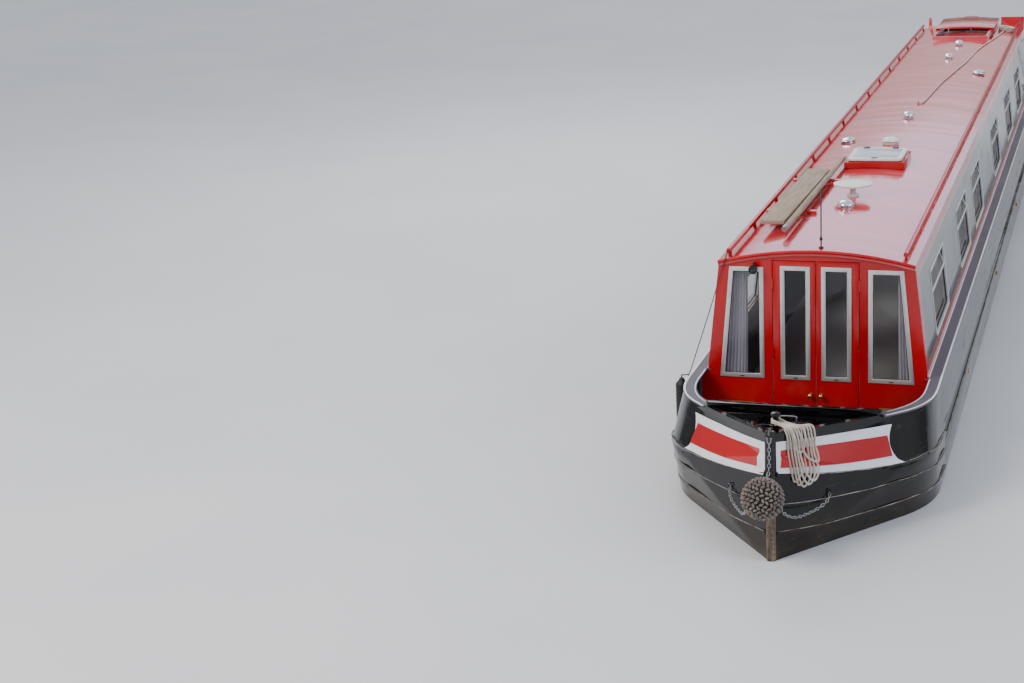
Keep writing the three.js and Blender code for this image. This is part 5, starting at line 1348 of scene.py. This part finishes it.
def edge_line(side, inset, width, start, end, name, by_cabin=None):
    """A white stripe along the capping, so far in from its outer edge, or beside the cabin: a painted line,
    and on the outer edge a painted highlight.
    """
    sign, bm, last = SIDES[side], bmesh.new(), None
    y = start
    while y <= end:
        level = rim_level(y) - RIM - 0.004
        edge = capping_tree[side].ray_cast(Vector((sign * 2, y, level)), Vector((-sign, 0, 0)))[0]
        outer = abs(edge.x) - inset
        if by_cabin and CABIN_FRONT < y < CABIN_REAR:
            outer = by_cabin
        pair = []
        for x in (outer, outer - width):
            top = capping_tree[side].ray_cast(Vector((sign * x, y, 3)), Vector((0, 0, -1)))[0]
            if top:
                pair.append(bm.verts.new((sign * x, y, top.z + 0.0018)))
        if len(pair) == 2:
            if last:
                bm.faces.new((last[0], last[1], pair[1], pair[0]))
            last = pair
        bent = y < CABIN_FRONT + 0.3 or y > CABIN_REAR - 0.3
        y += 0.03 if bent else 0.25  # short steps where the capping bends
    piece(name, skin(bm, 0.0012), "line_and_highlight_white", angle=40)


for side in SIDES:
    # The outer stripe is a painted highlight of the capping's edge; the other two are painted lines
    edge_line(side, 0.001, 0.015, BAR + 0.02, STERN - 1.15, f"capping_outer_edge_highlight_{side}")
    edge_line(side, 0.090, 0.008, BAR + 0.14, CABIN_FRONT - 0.01, f"capping_line_well_{side}")
    edge_line(side, 0.0, 0.009, CABIN_FRONT + 0.02, CABIN_REAR - 0.02, f"capping_line_cabin_{side}",
              CABIN_BASE + 0.0115)


# Hull and deck fittings

def turned_along(profile, start, end, steps=16):
    """A turned solid whose axis runs from start towards end."""
    axis = (Vector(end) - Vector(start)).normalized()
    side = axis.orthogonal().normalized()
    return lathe(profile, steps), stand(start, side, axis.cross(side))


# Stern fender's chains and the two eyes that they hang from
counter_tree = tree_of("counter", "gunwale_port", "gunwale_starboard")


def counter_side(x, z):
    """A point on the counter's round, straight behind that place."""
    return counter_tree.ray_cast(Vector((x, STERN + 1, z)), Vector((0, -1, 0)))[0]


fender_end = BUTTON + Vector((0.235, 0, 0))
hangers, eyes = [], []
for sign in (1, -1):
    high = counter_side(sign * 0.36, GUNWALE - 0.10)
    ring = lathe([(0.010, -0.003), (0.016, -0.003), (0.016, 0.003), (0.010, 0.003), (0.010, -0.003)], 16)
    eyes.append((ring, stand(high + Vector((0, 0.012, 0)), (0, 1, 0), UP)))
    tip = Vector((sign * fender_end.x, fender_end.y - 0.02, fender_end.z + 0.055))
    middle = high.lerp(tip, 0.5) + Vector((0, 0.012, -0.03))
    hangers += chain([high + Vector((0, 0.016, -0.014)), middle, tip], (1, 0, 0))
piece("stern_fender_chains", gather(hangers), "galvanised_steel", angle=60)
piece("stern_fender_eyes", gather(eyes), "black_enamel")

# Mooring studs on the stern's capping, each a mushroom on a flange
studs = []
for sign in (1, -1):
    foot = Vector((sign * 0.985, CABIN_REAR + 0.12, GUNWALE + 0.0005))
    studs.append((lathe([(0, 0), (0.036, 0), (0.036, 0.006), (0.019, 0.010), (0.0165, 0.020), (0.0165, 0.062),
                         (0.026, 0.070), (0.030, 0.078), (0.027, 0.088), (0.014, 0.094), (0, 0.095)], 24),
                  shift(*foot)))
piece("stern_mooring_studs", gather(studs), "black_enamel")

# Foredeck: rounded top of the mooring stud, and the gas locker lid's handle and hinges
stud_cap = lathe([(0, -0.0215), (0.0345, -0.0215), (0.0352, -0.012), (0.033, -0.002), (0.022, 0.0035),
                  (0, 0.005)], 28)
piece("bow_stud_cap", gather([(stud_cap, shift(*STUD))]), "black_enamel")
joined("foredeck", edge=0.003)
joined("gas_locker_lid", body="gas_locker_lid", edge=0.001)
lid_tree = tree_of("gas_locker_lid")
lid_low, lid_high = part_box("gas_locker_lid")


def on_lid(x, y, lift=0.0):
    """A point above the gas locker's lid."""
    top = lid_tree.ray_cast(Vector((x, y, 3)), Vector((0, 0, -1)))[0]
    return Vector((x, y, top.z + lift))


aft = lid_high[1] - 0.045
grip = smooth_line([on_lid(-0.06, aft, -0.002), on_lid(-0.056, aft, 0.020), on_lid(0.056, aft, 0.020),
                    on_lid(0.06, aft, -0.002)], 0.008)
piece("gas_locker_handle", tube_mesh("gas_locker_handle", grip, 0.005), "galvanised_steel",
      "gas_locker_lid")
knuckles = []
for x in (-0.12, 0.12):
    fore = on_lid(x, lid_low[1] + 0.006, 0.004)
    knuckles.append(turned_along([(0, 0), (0.006, 0), (0.006, 0.06), (0, 0.06)], fore - Vector((0.03, 0, 0)),
                                 fore + Vector((0.03, 0, 0)), 12))
piece("gas_locker_hinges", gather(knuckles), "black_enamel")

# Well: seat lids with rounded edges and finger holes rimmed in brass, beading on the locker fronts
for side, sign in SIDES.items():
    body = f"seat_lid_{side}"
    joined(body, body=body, edge=0.004)
    low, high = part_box(body)
    rim = lathe([(0.013, 0), (0.020, 0), (0.020, 0.0012), (0.018, 0.0022), (0.013, 0.0022), (0.013, 0)], 24)
    at = shift(sign * 0.56, (low[1] + high[1]) / 2, high[2])
    piece(f"seat_lid_ring_{side}", gather([(rim, at)]), "brass", body)
    joined(f"well_locker_{side}", edge=0.002)
    panel = border(rounded(shape([(-0.27, 0.72), (0.27, 0.72), (0.27, 0.99), (-0.27, 0.99)]), 0.02),
                   0.014, 0.006, 0.002)
    at = stand((sign * 0.5198, CABIN_FRONT - 0.33, 0), (0, -sign, 0), UP)
    piece(f"well_locker_beading_{side}", gather([(panel, at)]), "maroon_enamel")
joined("well_floor", edge=0.002)
joined("stern_deck", edge=0.002)

# Deck lids over the engine: a drop ring let into each, and hinges along their outer edges
for side, sign in SIDES.items():
    body = f"deck_lid_{side}"
    joined(body, body=body, edge=0.003)
    low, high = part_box(body)
    middle_y = (low[1] + high[1]) / 2
    plate = lathe([(0, 0), (0.030, 0), (0.030, 0.0010), (0.028, 0.0018), (0, 0.0018)], 24)
    ring = lathe([(0.017, 0.002), (0.022, 0.002), (0.022, 0.005), (0.017, 0.005), (0.017, 0.002)], 24)
    at = shift(sign * 0.09, middle_y, high[2])
    piece(f"deck_lid_ring_{side}", gather([(plate, at), (ring, at)]), "brass", body)
    straps = []
    for share in (0.18, 0.82):
        strap = bmesh.new()
        block(strap, (-0.075, -0.015, 0), (0.0, 0.015, 0.0022), 0.0008)
        place = shift(sign * 0.553, mix(low[1], high[1], share), high[2])
        straps.append((strap, place if sign > 0 else place @ MIRROR))
    piece(f"deck_lid_straps_{side}", gather(straps), "galvanised_steel", body)

# Tiller: the brass bar's turned wooden grip, and the pin that holds the bar
bar_end, bar_in = Vector((0, 8.015, 1.880)), Vector((0, 8.295, 1.836))
grip_start = bar_end.lerp(bar_in, 0.02)
part, place = turned_along([(0, 0), (0.0165, 0), (0.0185, 0.010), (0.0172, 0.05), (0.0195, 0.11),
                            (0.0175, 0.165), (0.0160, 0.172), (0, 0.172)], grip_start, bar_in, 24)
piece("tiller_grip", gather([(part, place)]), "varnished_ash", "rudder")
pin, place = turned_along([(0, -0.026), (0.0042, -0.026), (0.0042, 0.020), (0.010, 0.022), (0.012, 0.028),
                           (0.008, 0.036), (0, 0.038)], Vector((0, 8.59, 1.792)), Vector((0, 8.59, 1.9)), 18)
piece("tiller_pin", gather([(pin, place)]), "brass", "rudder")

# Rudder: its top bearing, bolted to the deck
STOCK, BOLT_RING = 8.895, 0.053
bearing = lathe([(0.034, 0.0), (0.062, 0.0), (0.062, 0.008), (0.048, 0.012), (0.044, 0.045), (0.034, 0.048),
                 (0.034, 0.0)], 28)
bolts = [(lathe([(0, 0.006), (0.006, 0.006), (0.006, 0.014), (0, 0.015)], 6),
          shift(BOLT_RING * cos(tau * k / 4 + pi / 4), STOCK + BOLT_RING * sin(tau * k / 4 + pi / 4), DECK))
         for k in range(4)]
piece("rudder_bearing", gather([(bearing, shift(0, STOCK, DECK)), *bolts]), "bronze")

# Anodes on the bow and the swim, each a zinc bar on its steel strap
hull_tree = tree_of("bow_shell", "hull_side_port", "hull_side_starboard", "swim")


def on_hull(y, z, sign, out=0.0):
    """A place on the hull's side with its outward matrix: X along the hull, Y up, Z outwards."""
    hit, normal, _, _ = hull_tree.ray_cast(Vector((sign * 2, y, z)), Vector((-sign, 0, 0)))
    normal = normal if normal.x * sign > 0 else -normal
    along = UP.cross(normal).normalized()
    return stand(hit + normal * out, along, normal.cross(along))


anodes, anode_straps = [], []
for sign in (1, -1):
    for y, z in ((-7.75, 0.30), (STERN - 1.6, 0.26)):
        place = on_hull(y, z, sign)
        bar = bmesh.new()
        block(bar, (-0.13, -0.035, 0.006), (0.13, 0.035, 0.038), 0.010, 3)
        anodes.append((bar, place))
        strap = bmesh.new()
        block(strap, (-0.19, -0.013, -0.002), (0.19, 0.013, 0.007), 0.001)
        anode_straps.append((strap, place))
piece("anodes", gather(anodes), "zinc")
piece("anode_straps", gather(anode_straps), "hull_blacking")

# Skin outlets along both sides, and the exhaust on the counter
outlets = []
for sign in (1, -1):
    for y in (-4.9, -1.3, 2.2, 5.1):
        place = on_hull(y, 0.72, sign)
        flange = lathe([(0.011, -0.004), (0.019, -0.004), (0.021, 0.002), (0.019, 0.005), (0.013, 0.006),
                        (0.011, 0.003), (0.011, -0.004)], 20)
        outlets.append((flange, place))
piece("skin_outlets", gather(outlets), "brass")
pipe_at = counter_side(-0.42, 0.78)
pipe, place = turned_along([(0.019, -0.02), (0.025, -0.02), (0.025, 0.040), (0.019, 0.040), (0.019, -0.02)],
                           pipe_at, pipe_at + Vector((0, 1, 0)), 22)
piece("exhaust_outlet", gather([(pipe, place)]), "galvanised_steel")

# Engine: ribs on its cover and a filler cap
joined("engine", edge=0.008)
low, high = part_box("engine")
top = high[2]
ribs = bmesh.new()
for k in range(5):
    x = -0.14 + 0.07 * k
    block(ribs, (x - 0.008, low[1] + 0.12, top - 0.002), (x + 0.008, high[1] - 0.24, top + 0.012), 0.003)
piece("engine_cover_ribs", ribs, "green_enamel")
cap = lathe([(0, 0), (0.030, 0), (0.034, 0.006), (0.034, 0.020), (0.028, 0.026), (0, 0.027)], 24)
piece("engine_filler_cap", gather([(cap, shift(0.16, (low[1] + high[1]) / 2, top))]), "black_plastic")

# Cabin lining overhead: pale ply panels under the roof beams, seen through the windows and doors
CEILING, CEILING_PANELS = (CABIN_FRONT + 0.08, CABIN_REAR - 1.15), 12
panel_long = (CEILING[1] - CEILING[0]) / CEILING_PANELS
ceiling = bmesh.new()
for k in range(CEILING_PANELS):
    y = mix(*CEILING, k / CEILING_PANELS)
    if abs(y + panel_long / 2 - HATCH.y) < 0.85:
        continue  # the skylight's well is left open
    for near, far in ((0.004, 0.66), (-0.66, -0.004)):
        block(ceiling, (near, y + 0.004, ROOF_EDGE - 0.018),
              (far, y + panel_long - 0.004, ROOF_EDGE - 0.008), 0.002)
piece("cabin_ceiling_panels", ceiling, "ceiling_ply")

# A grille in the gas locker's front, and a fuel filler on the port capping
grille = bmesh.new()
for k in range(7):
    block(grille, (-0.11, BAR + 0.0005, 0.80 + 0.016 * k), (0.11, BAR + 0.006, 0.808 + 0.016 * k), 0.0015)
piece("gas_locker_grille", grille, "black_enamel")
filler = lathe([(0, 0), (0.034, 0), (0.036, 0.002), (0.034, 0.004), (0.026, 0.0055), (0.024, 0.004),
                (0, 0.004)], 28)
piece("fuel_filler", gather([(filler, shift(0.975, CABIN_REAR + 0.30, GUNWALE + 0.0003))]), "brass")

# Rubber pads on the stowage racks
pads = bmesh.new()
for behind in (1.35, 2.68):
    y = CABIN_FRONT + behind
    for x0, x1 in ((-0.598, -0.352), (-0.346, -0.278)):
        block(pads, (x0, y - 0.02, RACK_TOP - 0.0018), (x1, y + 0.02, RACK_TOP + 0.0006), 0.0005)
piece("rack_pads", pads, "black_rubber")


# Floor at the waterline, and a soft studio

floor = bmesh.new()
bmesh.ops.create_grid(floor, x_segments=1, y_segments=1, size=150)
bmesh.ops.translate(floor, vec=(0, 40, WATERLINE), verts=floor.verts)
floor_mesh = bpy.data.meshes.new("studio_floor")
floor.to_mesh(floor_mesh)
floor.free()
# Studio floor: pale, matt, even
pale = Finish("pale_studio_floor", roughness=0.75)
pale.vary(pale.patches(0.4, detail=2), "dcdde0", "d6d8dc")
floor_mesh.materials.append(pale.made)
studio_floor = bpy.data.objects.new("studio_floor", floor_mesh)
bpy.context.scene.collection.objects.link(studio_floor)

# Studio surround: a pale dome over a darker band at eye level, which gives the gloss paint its depth
world = bpy.data.worlds.new("studio")
bpy.context.scene.world = world
world.use_nodes = True
sky = world.node_tree
height = add(sky, "SeparateXYZ", {0: add(sky, "TexCoord", out="Generated")}, out="Z")
share = add(sky, "MapRange", {"Value": height, "From Min": 0.03, "From Max": 0.34},
            interpolation_type="SMOOTHSTEP")
tone = add(sky, "Mix", {0: share, 6: "8d9194", 7: "eef3fc"}, **COLOUR)
sky.links.new(tone, sky.nodes["Background"].inputs["Color"])
sky.nodes["Background"].inputs["Strength"].default_value = 0.9

LIGHTS = (  # name, place, what it looks at, width and height, power, colour
    ("key", (-9, -16, 12), (0, -5, 1), (6, 6), 1700, "fff6ea"),
    ("fill", (13, -10, 9), (0, -3, 1), (8, 8), 700, "eaf0ff"),
    ("roof", (-6, 5, 12), (0, 3, 2), (7, 7), 900, "ffffff"),
    # These two put the sheen on the roof
    ("behind_high", (-5, 34, 13.5), (-5, 0, 10), (28, 9), 800, "dedeff"),
    ("behind_low", (-5, 34, 6.25), (-5, 0, 5), (28, 5.4), 160, "ffc8c0"),
)
for name, place, target, size, power, colour in LIGHTS:
    lamp = bpy.data.objects.new(name, bpy.data.lights.new(name, "AREA"))
    lamp.data.shape = "RECTANGLE"
    lamp.data.size, lamp.data.size_y = size
    lamp.data.energy = power
    lamp.data.color = linear(colour)[:3]
    lamp.matrix_world = Matrix.Translation(place) @ (
        Vector(target) - Vector(place)).to_track_quat("-Z", "Y").to_matrix().to_4x4()
    bpy.context.scene.collection.objects.link(lamp)
